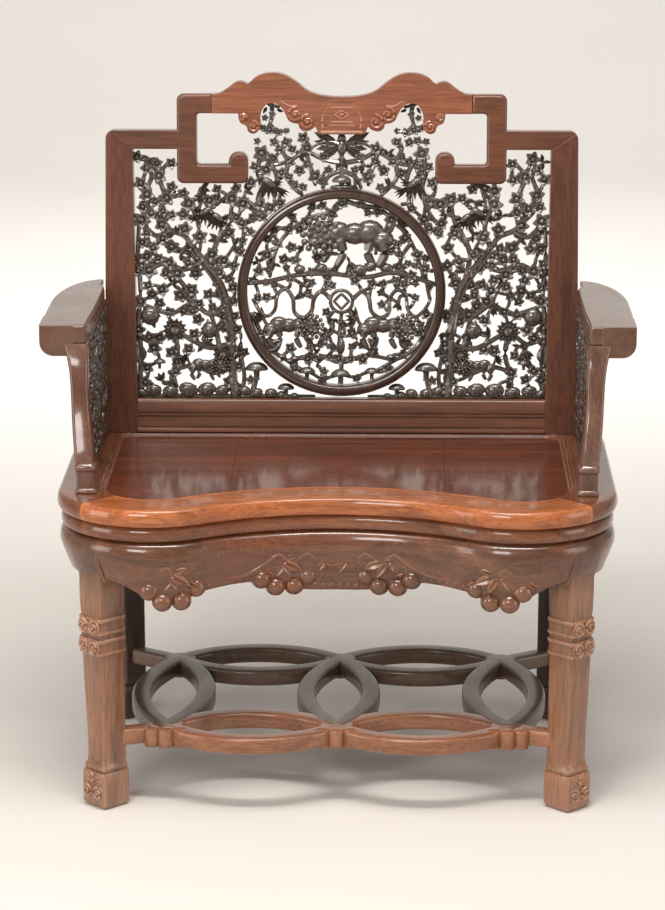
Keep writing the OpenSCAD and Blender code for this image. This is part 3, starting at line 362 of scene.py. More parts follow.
def arc(centre: tuple[float, float], radius: float, start: float, end: float, steps: int = 12) -> Plan:
    """Points along an arc, with angles in degrees."""
    turns = [radians(start + (end - start) * i / steps) for i in range(steps + 1)]
    return [(centre[0] + radius * cos(a), centre[1] + radius * sin(a)) for a in turns]


def track(*numbers: float) -> Plan:
    """Points from millimetres, across and up in turn."""
    return [(x / 1000, up / 1000) for x, up in zip(numbers[::2], numbers[1::2])]


def moved(place: Sequence[float]) -> Matrix:
    """A shift to a place."""
    return Matrix.Translation(place)


def sized(x: float, y: float, z: float) -> Matrix:
    """A scale along the three axes."""
    return Matrix.Diagonal((x, y, z, 1))


def smooth_line(points: Sequence[Sequence[float]], steps: int = 4, closed: bool = False) -> list[Vector]:
    """A smooth line through points, with the given steps between each two.

    Args:
        points: Points of any dimension that the line passes through.
        steps: Number of steps in each span.
        closed: Whether the line returns to its start.

    Returns:
        The points of the line.
    """
    knots = [Vector(p) for p in points]
    count = len(knots)
    spans = count if closed else count - 1
    line = []
    for i in range(spans):
        ring = [knots[(i + k) % count] if closed else knots[min(max(i + k, 0), count - 1)]
            for k in (-1, 0, 1, 2)]
        a, b, c, d = ring
        for step in range(steps):
            t = step / steps
            line.append(0.5 * (2 * b + (c - a) * t + (2 * a - 5 * b + 4 * c - d) * t * t
                + (3 * b - a - 3 * c + d) * t * t * t))
    return line if closed else line + [knots[-1]]


def rounded_box_plan(width: float, depth: float, radius: float, steps: int = 4) -> Plan:
    """A rectangle with rounded corners around the origin."""
    half_w, half_d = width / 2 - radius, depth / 2 - radius
    corners = ((half_w, half_d, 0), (-half_w, half_d, 90), (-half_w, -half_d, 180), (half_w, -half_d, 270))
    return [p for x, y, a in corners for p in arc((x, y), radius, a, a + 90, steps)]


def add_loop(bm: BMesh, points: Iterable[Vector], closed: bool = True) -> list[BMEdge]:
    """Adds a line of edges through points and returns them."""
    verts = [bm.verts.new(p) for p in points]
    ends = zip(verts, verts[1:] + verts[:1] if closed else verts[1:])
    return [bm.edges.new(pair) for pair in ends]


def skin(bm: BMesh, loops: Sequence[Loop], ring: bool = False) -> None:
    """Adds a skin over loops: a grid is laid over them, a row for each loop, and its seam is welded.

    Args:
        bm: The mesh to add to.
        loops: Closed loops of points, each with the same number.
        ring: Whether the last loop joins the first; otherwise both ends are closed with a face.
    """
    rows = [*loops, loops[0]] if ring else loops
    across = len(loops[0])
    part = bmesh.new()
    grid = bmesh.ops.create_grid(part, x_segments=across, y_segments=len(rows) - 1, size=1.0)["verts"]
    for i, vert in enumerate(grid):
        row, place = divmod(i, across + 1)
        vert.co = rows[row][place % across]
    bmesh.ops.remove_doubles(part, verts=part.verts, dist=1e-7)
    if not ring:
        bmesh.ops.edgeloop_fill(part, edges=[e for e in part.edges if e.is_boundary])
    join(bm, part)


def tube(bm: BMesh, path: Sequence[Vector], start: float, end: float, sides: int = 8) -> None:
    """Adds a round stem along a path, tapered between two radii, with domed ends."""
    count = len(path)
    loops = []
    for i, point in enumerate(path):
        ahead = (path[min(i + 1, count - 1)] - path[max(i - 1, 0)]).normalized()
        turn = ahead.to_track_quat("Z", "Y").to_matrix()
        radius = start + (end - start) * i / (count - 1)
        loops.append([point + turn @ Vector((x, y, 0.0)) for x, y in arc((0, 0), radius, 0, 360,
            sides)[:-1]])
        if i in (0, count - 1):
            away = ahead * radius * (-0.5 if i == 0 else 0.5)
            cap = [point + away + (p - point) * 0.55 for p in loops[-1]]
            loops.insert(0 if i == 0 else len(loops), cap)
    skin(bm, loops)


def plate(bm: BMesh, outline: Plan, low: float, high: float, radius: float, segments: int = 4) -> None:
    """Adds a flat piece with rounded edges, drawn across and up and thick in depth.

    Args:
        bm: The mesh to add to.
        outline: The piece's outline, across and up.
        low: Depth of one face.
        high: Depth of the other face.
        radius: Radius of the rounded edges.
        segments: Steps in each rounded edge.
    """
    rim = add_loop(bm, [Vector((x, low, z)) for x, z in outline])
    face = bmesh.ops.edgeloop_fill(bm, edges=rim)["faces"]
    grown = bmesh.ops.extrude_face_region(bm, geom=face)["geom"]
    top = [v for v in grown if isinstance(v, BMVert)]
    bmesh.ops.translate(bm, vec=(0.0, high - low, 0.0), verts=top)
    far_rim = [e for e in grown if isinstance(e, BMEdge)]
    bmesh.ops.bevel(bm, geom=rim + far_rim, offset=radius, offset_type="OFFSET", segments=segments,
        profile=0.5, affect="EDGES", clamp_overlap=True, material=-1)


def cut_away(bm: BMesh, point: Sequence[float], normal: Sequence[float]) -> None:
    """Cuts off what lies on the normal's side of a plane and closes the cut."""
    geometry = bm.verts[:] + bm.edges[:] + bm.faces[:]
    cut = bmesh.ops.bisect_plane(bm, geom=geometry, plane_co=point, plane_no=normal, clear_outer=True)
    edges = [e for e in cut["geom_cut"] if isinstance(e, BMEdge)]
    bmesh.ops.edgeloop_fill(bm, edges=edges)


def join(bm: BMesh, part: BMesh) -> None:
    """Adds a finished part to a mesh and frees the part."""
    mesh = bpy.data.meshes.new("part")
    part.to_mesh(mesh)
    part.free()
    bm.from_mesh(mesh)
    bpy.data.meshes.remove(mesh)


def stamp(bm: BMesh, shape: bpy.types.Mesh, place: Matrix) -> None:
    """Adds a copy of a small shape at a place."""
    copy = shape.copy()
    copy.transform(place)
    bm.from_mesh(copy)
    bpy.data.meshes.remove(copy)


def as_shape(name: str, build: Callable[[BMesh], None]) -> bpy.types.Mesh:
    """A small mesh made once and stamped many times."""
    found = bpy.data.meshes.get(name)
    if found:
        return found
    bm = bmesh.new()
    build(bm)
    bmesh.ops.recalc_face_normals(bm, faces=bm.faces)
    shape = bpy.data.meshes.new(name)
    bm.to_mesh(shape)
    bm.free()
    return shape


def finish_piece(bm: BMesh, name: str, finish: WoodFinish, nodes: Sequence[str], sharp: float = 38.0,
        flat_faces: bool = False) -> bpy.types.Object:
    """Turns a mesh into a piece of the chair.

    Args:
        bm: The finished mesh, which is freed.
        name: The piece's name.
        finish: The wood finish it wears.
        nodes: The frame's nodes that it stands for.
        sharp: Angle in degrees above which an edge is shaded sharp.
        flat_faces: Whether large flat faces keep their own shading beside rounded edges.

    Returns:
        The piece.
    """
    bmesh.ops.remove_doubles(bm, verts=bm.verts, dist=1e-6)
    bmesh.ops.recalc_face_normals(bm, faces=bm.faces)
    mesh = bpy.data.meshes.new(name)
    bm.to_mesh(mesh)
    bm.free()
    mesh.shade_smooth()
    mesh.set_sharp_from_angle(angle=radians(sharp))
    mesh.materials.append(finish.material())
    piece = bpy.data.objects.new(name, mesh)
    bpy.context.collection.objects.link(piece)
    if flat_faces:
        weighted = piece.modifiers.new("Flat faces", "WEIGHTED_NORMAL")
        weighted.keep_sharp = True
    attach(piece, "root")
    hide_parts(*nodes)
    log.info("%s: %d faces in %s", name, len(mesh.polygons), finish.name)
    return piece


# Seat, waist and apron


@dataclass
class SeatPlan:
    """The seat's outline: a concave front between two convex lobes, straight sides, round rear corners."""

    half_width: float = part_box("seat_frame_right")[1].x
    front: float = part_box("seat_frame_front")[0].y
    rear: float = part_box("seat_frame_rear")[1].y
    corner: float = 0.153
    setback: float = 0.085
    rear_corner: float = 0.09

    def __post_init__(self) -> None:
        """Works out the two arcs of the front."""
        self.lobe_x = self.half_width - self.corner
        self.lobe_y = self.front + self.corner
        rise = self.corner - self.setback
        self.hollow = (self.lobe_x**2 + rise**2 - self.corner**2) / (2 * self.setback)
        self.hollow_y = self.front + self.setback - self.hollow
        self.tangent = degrees(atan2(self.lobe_y - self.hollow_y, self.lobe_x))

    def outline(self, inset: float, rear_inset: float | None = None,
            rear_radius: float | None = None) -> Plan:
        """The outline moved inward.

        Args:
            inset: How far it is moved inward.
            rear_inset: The same for the rear edge, where it differs.
            rear_radius: Radius of the rear corners, where it isn't the outer radius less the inset.

        Returns:
            The closed outline, always with the same number of points.
        """
        back_in = inset if rear_inset is None else rear_inset
        radius = max(self.rear_corner - inset, 0.008) if rear_radius is None else rear_radius
        half = arc((0.0, self.hollow_y), self.hollow + inset, 90, self.tangent, 26)
        half += arc((self.lobe_x, self.lobe_y), self.corner - inset, self.tangent + 180, 360, 34)[1:]
        centre = (self.half_width - inset - radius, self.rear - back_in - radius)
        half += arc(centre, radius, 0, 90, 12)
        return half + [(-x, y) for x, y in reversed(half[1:])]

    def edge(self, x: float, inset: float) -> float:
        """Y of the front edge at x, moved inward by inset."""
        across = abs(x)
        if across < self.hollow * cos(radians(self.tangent)):
            return self.hollow_y + sqrt((self.hollow + inset) ** 2 - across**2)
        return self.lobe_y - sqrt((self.corner - inset) ** 2 - (across - self.lobe_x) ** 2)


PLAN = SeatPlan()


@dataclass
class Mitres:
    """The diagonal planes through the legs where the seat's members meet."""

    front: tuple[float, float] = (PLAN.lobe_x + 0.079, PLAN.lobe_y - 0.079)
    rear: tuple[float, float] = (0.368, 0.233)

    def leg(self, side: Side, row: Row) -> Vector:
        """Centre of a leg, on the floor."""
        x, y = self.front if row is Row.FRONT else self.rear
        return Vector((x * side.value, y, 0.0))

    def out(self, side: Side, row: Row) -> Vector:
        """Direction from the seat's middle towards a leg, along its diagonal."""
        return Vector((side.value, row.value, 0.0)).normalized()

    def along(self, side: Side, row: Row) -> Vector:
        """Direction square to the leg's diagonal, pointing from the front or rear member to the side one."""
        return Vector((side.value, -row.value, 0.0)).normalized()

    def keep_member(self, bm: BMesh, which: Side | Row, gap: float) -> None:
        """Cuts a whole ring down to one member, leaving a gap on each side of the leg's diagonal."""
        corners = [(s, r) for s in Side for r in Row if which in (s, r)]
        away = (0.0, -which.value, 0.0) if isinstance(which, Row) else (-which.value, 0.0, 0.0)
        cut_away(bm, (0.0, 0.0, 0.0), away)
        for side, row in corners:
            sign = 1.0 if isinstance(which, Row) else -1.0
            normal = self.along(side, row) * sign
            cut_away(bm, self.leg(side, row) - normal * gap, normal)

    def keep_corner(self, bm: BMesh, side: Side, row: Row, half: float) -> None:
        """Cuts a whole ring down to the part in front of one leg."""
        centre = self.leg(side, row)
        along = self.along(side, row)
        for normal in (along, -along):
            cut_away(bm, centre + normal * half, normal)
        cut_away(bm, centre - self.out(side, row) * 0.2, -self.out(side, row))


MITRES = Mitres()


def swept_ring(bm: BMesh, profile: Plan, droop: Callable[[float, float, float],
        float] | None = None) -> None:
    """Sweeps a closed profile of (inset, height) round the seat's plan.

    Args:
        bm: The mesh to add to.
        profile: Points of the profile, as inset and height.
        droop: Returns the height for a point (x, y) and its profile height.
    """
    loops = []
    for inset, height in profile:
        plan = PLAN.outline(inset)
        loops.append([Vector((x, y, droop(x, y, height) if droop else height)) for x, y in plan])
    skin(bm, loops, ring=True)


@dataclass
class SeatFrame:
    """Four mitred members with a half-round edge and a small bead round the sunk panel."""

    top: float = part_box("seat_frame_front")[1].z
    under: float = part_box("seat_frame_front")[0].z
    nose: float = 0.008
    bead: float = 0.012
    width: float = 0.078
    panel_drop: float = 0.003
    rear_width: float = 0.0719
    rear_radius: float = 0.026
    mitre_gap: float = 0.00012
    board: float = 0.012
    seam: float = 0.171
    seam_gap: float = 0.0001

    def profile(self) -> Plan:
        """Inset and height of the section, from the inner lower edge round the nose to the panel."""
        middle = (self.top + self.under) / 2
        half = (self.top - self.under) / 2
        nose = [(self.nose * (1 - cos(radians(a))), middle + half * sin(radians(a)))
            for a in range(-90, 91, 12)]
        inner = self.width - self.bead
        beads = [(0.03, 0.0), (inner - 0.004, 0.0), (inner - 0.001, 0.0), (inner, 0.0008),
            (inner + 0.0008, 0.0009), (inner + 0.0016, 0.0002), (inner + 0.0032, 0.0),
            (inner + 0.0048, 0.0004), (inner + 0.0054, 0.0013), (inner + 0.0062, 0.0014),
            (inner + 0.007, 0.0007), (inner + 0.0086, 0.0004), (inner + 0.0104, 0.0009),
            (inner + 0.0116, 0.0022)]
        lip = [(inset, self.top - drop) for inset, drop in beads]
        return nose + lip + [(self.width, self.top - self.panel_drop - 0.002), (self.width, self.under)]

    def loops(self) -> list[Loop]:
        """The frame's whole ring as loops, its inner edge following the panel rather than the outer edge."""
        made = []
        for inset, height in self.profile():
            share = max(0.0, (inset - 0.03) / (self.width - 0.03))
            rear = inset + (self.rear_width - self.width) * share
            radius = (PLAN.rear_corner - 0.03) * (1 - share) + self.rear_radius * share
            plan = PLAN.outline(inset, rear, radius if inset > 0.03 else max(PLAN.rear_corner - inset,
                0.008))
            made.append([Vector((x, y, height)) for x, y in plan])
        return made

    def build_panel(self) -> None:
        """Makes and dresses the three boards of the sunk panel, with a fine arris along each seam."""
        top = self.top - self.panel_drop
        plan = PLAN.outline(self.width - 0.0002, self.rear_width - 0.0002, self.rear_radius)
        reach = PLAN.half_width
        for word, low, high in (("left", -reach, -self.seam), ("centre", -self.seam, self.seam),
                ("right", self.seam, reach)):
            bm = bmesh.new()
            skin(bm, [[Vector((x, y, z)) for x, y in plan] for z in (top - self.board, top)])
            cut_away(bm, (low + self.seam_gap, 0, 0), (-1, 0, 0))
            cut_away(bm, (high - self.seam_gap, 0, 0), (1, 0, 0))
            arris = [e for e in bm.edges if all(v.co.z > top - 1e-6 for v in e.verts)]
            bmesh.ops.bevel(bm, geom=arris, offset=0.0004, offset_type="OFFSET", segments=2, profile=0.5,
                affect="EDGES", clamp_overlap=True, material=-1)
            finish_piece(bm, f"seat_board_{word}_fitted", SEAT_WOOD, [f"seat_board_{word}"], flat_faces=True)

    def build_batten(self, row: Row) -> None:
        """Makes and dresses one batten under the panel."""
        low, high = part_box(f"seat_batten_{row.word}")
        bm = bmesh.new()
        outline = [(low.x, low.z), (high.x, low.z), (high.x, high.z), (low.x, high.z)]
        plate(bm, outline, low.y, high.y, 0.002, 2)
        finish_piece(bm, f"seat_batten_{row.word}_planed", UNSEEN_WOOD, [f"seat_batten_{row.word}"],
            flat_faces=True)

    def build(self) -> None:
        """Makes and dresses the four members, the panel and the battens."""
        for which in (*Row, *Side):
            bm = bmesh.new()
            skin(bm, self.loops(), ring=True)
            MITRES.keep_member(bm, which, self.mitre_gap)
            worn = FRONT_FRAME if which is Row.FRONT else CROSSWISE if which is Row.REAR else SIDE_FRAME
            node = f"seat_frame_{which.word}"
            finish_piece(bm, f"{node}_moulded", worn, [node], sharp=50)
        self.build_panel()
        for row in Row:
            self.build_batten(row)


@dataclass
class Waist:
    """The rounded band between two grooves under the seat frame."""

    top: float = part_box("waist_front")[1].z
    under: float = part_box("waist_front")[0].z
    inset: float = 0.006
    thick: float = 0.016

    def build(self) -> None:
        """Makes and dresses the four members."""
        low, high = self.under + 0.002, self.top - 0.0035
        middle, half = (low + high) / 2, (high - low) / 2
        swell = [(self.inset + 0.004 * (1 - cos(radians(a))), middle + half * sin(radians(a)))
            for a in range(-80, 81, 16)]
        inner = self.inset + self.thick
        profile = [(inner, self.under), (self.inset + 0.0065, self.under)] + swell
        profile += [(self.inset + 0.0075, self.top), (inner, self.top)]
        for which in (*Row, *Side):
            bm = bmesh.new()
            swept_ring(bm, profile)
            MITRES.keep_member(bm, which, 0.0001)
            node = f"waist_{which.word}"
            finish_piece(bm, f"{node}_moulded", WAIST_WOOD if isinstance(which, Row) else SIDE_FRAME, [node])


@dataclass
class Apron:
    """The swelling apron, with berries and leaves carved along the front's wavy lower edge."""

    top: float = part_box("apron_rear")[1].z
    plain: float = 0.072
    inner: float = 0.034
    leg_half: float = 0.031
    berry: float = 0.0164

    @property
    def low(self) -> float:
        """Height of the plain part's lower edge."""
        return self.top - self.plain

    def profile(self) -> Plan:
        """Inset and height above the lower edge, from the top of the outer face to its foot."""
        knots = [(0.022, 0.072), (0.0165, 0.0714), (0.0112, 0.0692), (0.0072, 0.0655), (0.0046, 0.0605),
            (0.0034, 0.054), (0.0038, 0.046), (0.0066, 0.036), (0.0112, 0.022), (0.0158, 0.01),
            (0.019, 0.0)]
        return [(p[0], p[1]) for p in smooth_line(knots, 3)]

    def edge(self, x: float) -> float:
        """Height of the front's lower edge over the plain lower edge, at x."""
        knots = [(0.0, -26), (0.03, -26), (0.052, -25), (0.07, -20), (0.094, -15), (0.118, -13),
            (0.134, -8), (0.165, -9), (0.205, -13), (0.222, -19), (0.25, -21), (0.286, -21), (0.3, -14),
            (0.312, -7), (0.324, -1), (0.336, 3), (0.356, 8), (0.6, 8)]
        across = abs(x)
        for (a, low), (b, high) in zip(knots, knots[1:]):
            if a <= across <= b:
                share = (across - a) / (b - a)
                return (low + (high - low) * share) * MM
        return 8 * MM

    def closed_profile(self) -> Plan:
        """The whole section as inset and height, outer face down and inner face up."""
        outer = [(inset, self.low + up) for inset, up in self.profile()]
        outer += [(0.0215, self.low - 0.0015), (0.025, self.low - 0.0022)]
        return outer + [(self.inner, self.low - 0.0015), (self.inner, self.top)]

    def front_height(self, x: float, y: float, height: float) -> float:
        """Stretches the front's section down to its wavy edge."""
        if y > 0:
            return height
        share = (self.top - height) / self.plain
        return self.top - share * (self.plain - self.edge(x))

    def side_height(self, _x: float, _y: float, height: float) -> float:
        """The plain members end a little higher than the legs' shoulders."""
        share = (self.top - height) / self.plain
        return self.top - share * (self.plain - 0.006)

    def shoulder(self, bm: BMesh, side: Side, row: Row) -> None:
        """Adds the part of the apron's swell that is one with a leg."""
        swept_ring(bm, [(inset, height) for inset, height in self.closed_profile()])
        MITRES.keep_corner(bm, side, row, self.leg_half - 0.0001)

    def berry_places(self) -> Plan:
        """Across and height of the berries on the right half."""
        places = [(46, -5), (67, -20), (96, -20), (118, -7), (218, -7), (240, -26), (269, -26), (289, -8)]
        return [(x * MM, self.low + (z + 1) * MM) for x, z in places]

    def on_face(self, x: float, height: float, proud: float = 0.0) -> Vector:
        """A point on the front's swelling face.

        Args:
            x: Place across.
            height: Height above the floor.
            proud: How far it stands out from the face.

        Returns:
            The point.
        """
        up = max(0.0, min(0.072, height - self.low))
        inset = 0.0215
        pairs = self.profile()
        for (high_inset, high), (low_inset, low) in zip(pairs, pairs[1:]):
            if low <= up <= high:
                share = (up - low) / max(high - low, 1e-6)
                inset = low_inset + (high_inset - low_inset) * share
        if height < self.low:
            inset = 0.019
        return Vector((x, PLAN.edge(x, inset) - proud, height))

    def carve_front(self, bm: BMesh) -> None:
        """Adds the berries, the leaves over them, the vine between and the drops along the edge."""
        ball = as_shape("berry", lambda b: bmesh.ops.create_uvsphere(b, u_segments=20, v_segments=12,
            radius=1.0))
        leaf = leaf_shape()
        bud = blossom_shape()
        for side in Side:
            sign = side.value
            for x, z in self.berry_places():
                centre = Vector((sign * x, PLAN.edge(x, 0.019) + 0.005, z))
                stamp(bm, ball, moved(centre) @ Matrix.Scale(self.berry, 4))
            sprays = [(0.082, 0.024, 0.036), (0.254, 0.02, 0.036), (0.02, 0.026, 0.03),
                (0.045, 0.014, 0.024), (0.112, 0.008, 0.022), (0.286, 0.01, 0.024), (0.228, 0.006, 0.022)]
            for x, up, size in sprays:
                for k, tilt in enumerate((-158, -120, -62, -24, 20, 160)):
                    at = self.on_face(sign * (x + 0.006 * cos(radians(tilt))), self.low + up, -0.0008)
                    length = size * (1.0 - 0.12 * (k % 3))
                    size_of = sized(length, length * 0.55, 0.0048)
                    turn = Matrix.Rotation(radians(tilt), 4, "Z")
                    stamp(bm, leaf, moved(at) @ FACE_FRONT @ turn @ size_of)
                at = self.on_face(sign * x, self.low + up + 0.002, 0.001)
                broad = size * 0.28
                stamp(bm, bud, moved(at) @ FACE_FRONT @ sized(broad, broad, 0.0075))
            vine = track(300, 4, 280, 16, 262, 34, 244, 18, 220, 12, 190, 3, 165, 2, 140, 6, 112, 22, 90,
                36, 70, 22, 46, 36, 24, 20, 0, 12)
            path = [self.on_face(sign * p.x, self.low + p.y, 0.0006) for p in smooth_line(vine, 4)]
            tube(bm, path, 0.0028, 0.0036, 6)
            for k in range(7):
                x = 0.128 + 0.012 * k
                at = self.on_face(sign * x, self.low + self.edge(x) + 0.007, 0.0)
                stamp(bm, ball, moved(at) @ sized(0.0055, 0.003, 0.0045))
            for k in range(4):
                x = 0.007 + 0.013 * k
                at = self.on_face(sign * x, self.low + self.edge(x) + 0.006, 0.0)
                stamp(bm, ball, moved(at) @ sized(0.0062, 0.0032, 0.0052))

    def build(self) -> None:
        """Makes and dresses the four members."""
        for which in (*Row, *Side):
            bm = bmesh.new()
            swept_ring(bm, self.closed_profile(), self.front_height if which is Row.FRONT
                else self.side_height)
            MITRES.keep_member(bm, which, self.leg_half)
            if which is Row.FRONT:
                self.carve_front(bm)
            node = f"apron_{which.word}"
            finish_piece(bm, f"{node}_moulded", APRON_WOOD if isinstance(which, Row) else APRON_SIDE,
                [node], sharp=45)


APRON = Apron()


# Small carved shapes


def lobed_dome(bm: BMesh, lobes: int, depth: float, steps: Plan, spokes: int) -> None:
    """Adds a round motif of unit radius that faces +Z.

    Args:
        bm: The mesh to add to.
        lobes: Number of petals.
        depth: How deep the gaps between petals cut in, as a share of the radius.
        steps: Radius and height of each ring, from the back of the rim to the middle.
        spokes: Number of points round each ring.
    """
    loops = []
    for reach, height in steps:
        loop = []
        for k in range(spokes):
            turn = tau * k / spokes
            wave = cos(lobes * turn)
            radius = reach * (1 - depth * min(reach, 1.0) * (1 - wave) / 2)
            lift = height + 0.1 * wave * min(reach, 1.0) * (1 if height > 0 else 0)
            loop.append(Vector((radius * cos(turn), radius * sin(turn), lift)))
        loops.append(loop)
    skin(bm, loops)


def blossom_shape() -> bpy.types.Mesh:
    """A five-petalled flower of unit radius with a raised boss, facing +Z."""
    steps = [(0.8, -0.35), (1.0, -0.02), (0.86, 0.3), (0.56, 0.3), (0.34, 0.06), (0.26, 0.34), (0.12, 0.46)]
    return as_shape("blossom", lambda bm: lobed_dome(bm, 5, 0.36, steps, 20))


def chrysanthemum_shape() -> bpy.types.Mesh:
    """A flower of two tiers of narrow petals round a domed middle, facing +Z."""
    steps = [(0.85, -0.3), (1.0, -0.02), (0.9, 0.22), (0.72, 0.1), (0.7, 0.3), (0.52, 0.4), (0.42, 0.24),
        (0.38, 0.44), (0.2, 0.58), (0.06, 0.6)]
    return as_shape("chrysanthemum", lambda bm: lobed_dome(bm, 14, 0.26, steps, 56))


def leaf_shape() -> bpy.types.Mesh:
    """A pointed leaf of unit length along +X and unit width, with a groove down its middle, facing +Z."""

    def build(bm: BMesh) -> None:
        """Skins five-sided sections from stalk to tip."""
        loops = []
        for x, width in ((0.0, 0.06), (0.12, 0.5), (0.3, 0.92), (0.5, 1.0), (0.72, 0.72), (0.9, 0.3),
                (1.0, 0.04)):
            half = width / 2
            loops.append([Vector((x, -half, 0.0)), Vector((x, -half * 0.5, 0.9 * width)),
                Vector((x, 0.0, 0.35 * width)), Vector((x, half * 0.5, 0.9 * width)),
                Vector((x, half, 0.0)), Vector((x, 0.0, -0.5 * width))])
        skin(bm, loops)

    return as_shape("leaf", build)


def ball_shape() -> bpy.types.Mesh:
    """A small round knob of unit radius."""
    return as_shape("knob", lambda bm: bmesh.ops.create_uvsphere(bm, u_segments=12, v_segments=8,
        radius=1.0))


def fungus_shape() -> bpy.types.Mesh:
    """A domed cap of unit radius on a short stalk, standing up +Y and facing +Z."""

    def build(bm: BMesh) -> None:
        """Spins the cap's profile about its upright axis."""
        outline = [(0.0, 0.62), (0.35, 0.58), (0.68, 0.42), (0.92, 0.16), (1.0, -0.06), (0.93, -0.18),
            (0.7, -0.14), (0.4, -0.2), (0.26, -0.36), (0.24, -0.9), (0.3, -1.1), (0.0, -1.1)]
        edges = add_loop(bm, [Vector((x, y, 0.0)) for x, y in outline], closed=False)
        geometry = edges + list({v for e in edges for v in e.verts})
        bmesh.ops.spin(bm, geom=geometry, cent=(0, 0, 0), axis=(0, 1, 0), angle=tau, steps=18,
            use_merge=True)
        bmesh.ops.remove_doubles(bm, verts=bm.verts, dist=1e-5)

    return as_shape("fungus", build)


# Legs


@dataclass
class Leg:
    """A leg turned 45 degrees, with a carved collar, a scrolled foot and the apron's shoulder."""

    side: Side
    row: Row
    width: float = 0.045
    foot: float = 0.054
    foot_height: float = 0.076
    collar: float = 0.284
    upper: float = 0.052
    softness: float = 0.0045

    def sections(self) -> list[tuple[float, float, float]]:
        """Height, side and outward shift of each square section, from the floor up."""
        foot, collar, mid = self.foot_height, self.collar, self.width + 0.003
        low = [(0.0, self.foot - 0.010, -0.003), (0.002, self.foot - 0.006, -0.003),
            (0.0075, self.foot, -0.003), (0.04, self.foot + 0.0005, -0.003),
            (foot - 0.02, self.foot, -0.003), (foot - 0.0165, self.foot - 0.002, -0.003),
            (foot - 0.0155, self.foot - 0.006, -0.0035), (foot - 0.012, self.foot - 0.0035, -0.0035),
            (foot - 0.008, self.foot - 0.0045, -0.0038), (foot - 0.003, self.width + 0.001, -0.0045),
            (foot + 0.006, self.width, -0.006), (foot + 0.05, self.width, -0.005)]
        rise = [(collar - 0.07, mid - 0.0005, -0.0018), (collar - 0.038, mid, -0.001),
            (collar - 0.0335, mid + 0.0005, -0.001)]
        bands = []
        for base in (collar - 0.031, collar + 0.003):
            bands += [(base, mid + 0.001, 0.0), (base + 0.0008, self.foot - 0.002, 0.0),
                (base + 0.003, self.foot, 0.0), (base + 0.0065, self.foot - 0.0005, 0.0),
                (base + 0.0075, self.foot - 0.003, 0.0), (base + 0.0205, self.foot - 0.0035, 0.0),
                (base + 0.0215, self.foot - 0.001, 0.0), (base + 0.025, self.foot, 0.0),
                (base + 0.0275, self.foot - 0.0015, 0.0), (base + 0.028, mid + 0.001, 0.0)]
        high = [(collar + 0.0335, self.upper - 0.003, 0.0), (collar + 0.04, self.upper - 0.0015, 0.0),
            (collar + 0.07, self.upper, 0.0), (APRON.top - 0.006, self.upper, 0.0)]
        return low + rise + bands + high

    def turned(self, centre: Vector, height: float, size: float, shift: float) -> Loop:
        """One rounded square section, turned so that a corner faces forward."""
        out = MITRES.out(self.side, self.row)
        middle = centre + out * shift
        turn = Matrix.Rotation(radians(45), 3, "Z")
        plan = rounded_box_plan(size, size, self.softness, 4)
        return [Vector((middle.x, middle.y, height)) + turn @ Vector((x, y, 0.0)) for x, y in plan]

    def scroll(self, bm: BMesh, centre: Vector, radius: float, start: float, sense: int) -> None:
        """Adds a raised spiral on the outer face, coiling in from a start angle in degrees."""
        out = MITRES.out(self.side, self.row)
        across = Vector((-out.y, out.x, 0.0))
        path = []
        for i in range(25):
            share = i / 24
            turn = radians(start + sense * 520 * share)
            reach = radius * (1 - 0.78 * share)
            path.append(centre + across * (reach * cos(turn)) + Vector((0, 0, reach * sin(turn))) + out
                * (0.0006 + 0.0012 * share))
        tube(bm, path, 0.0028, 0.0018, 6)
        stamp(bm, ball_shape(), moved(centre + out * 0.0005) @ Matrix.Scale(radius * 0.3, 4))

    def carve(self, bm: BMesh) -> None:
        """Adds the four collar scrolls, the two foot scrolls and the small crown above them."""
        centre = MITRES.leg(self.side, self.row)
        out = MITRES.out(self.side, self.row)
        across = Vector((-out.y, out.x, 0.0))
        face = centre + out * (self.foot / 2 + 0.0005)
        disc = as_shape("scroll_disc", lambda b: bmesh.ops.create_uvsphere(b, u_segments=20, v_segments=10,
            radius=1))
        turn = out.to_track_quat("Z", "Y").to_matrix().to_4x4()
        for sense in (-1, 1):
            for lift in (-1, 1):
                at = face + across * (sense * 0.0128) + Vector((0, 0, self.collar + lift * 0.0158))
                stamp(bm, disc, moved(at) @ turn @ sized(0.0132, 0.0132, 0.0022))
                self.scroll(bm, at + out * 0.0006, 0.0112, 90 * lift, sense * lift)
            at = face + across * (sense * 0.0125) - out * 0.0035 + Vector((0, 0, 0.026))
            stamp(bm, disc, moved(at) @ turn @ sized(0.0122, 0.0122, 0.0022))
            self.scroll(bm, at + out * 0.0008, 0.0105, 90, sense)
        for tilt in (-62, -24, 24, 62, 270):
            at = face - out * 0.0035 + Vector((0, 0, 0.044))
            stand = turn @ Matrix.Rotation(radians(90 + tilt), 4, "Z")
            stamp(bm, leaf_shape(), moved(at) @ stand @ sized(0.02, 0.009, 0.003))
        at = face - out * 0.003 + Vector((0, 0, 0.045))
        stamp(bm, ball_shape(), moved(at) @ Matrix.Scale(0.0042, 4))

    def build(self) -> None:
        """Makes and dresses the leg."""
        bm = bmesh.new()
        APRON.shoulder(bm, self.side, self.row)
        centre = MITRES.leg(self.side, self.row)
        skin(bm, [self.turned(centre, *section) for section in self.sections()])
        stub = [(APRON.top - 0.006, 0.03, 0.0), (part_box("leg_front_left")[1].z, 0.03, 0.0)]
        skin(bm, [self.turned(centre, *section) for section in stub])
        self.carve(bm)
        node = f"leg_{self.row.word}_{self.side.word}"
        finish_piece(bm, f"{node}_carved", LEG_WOOD if self.row is Row.FRONT else REAR_LEG_WOOD, [node],
            sharp=32)


# Lattice


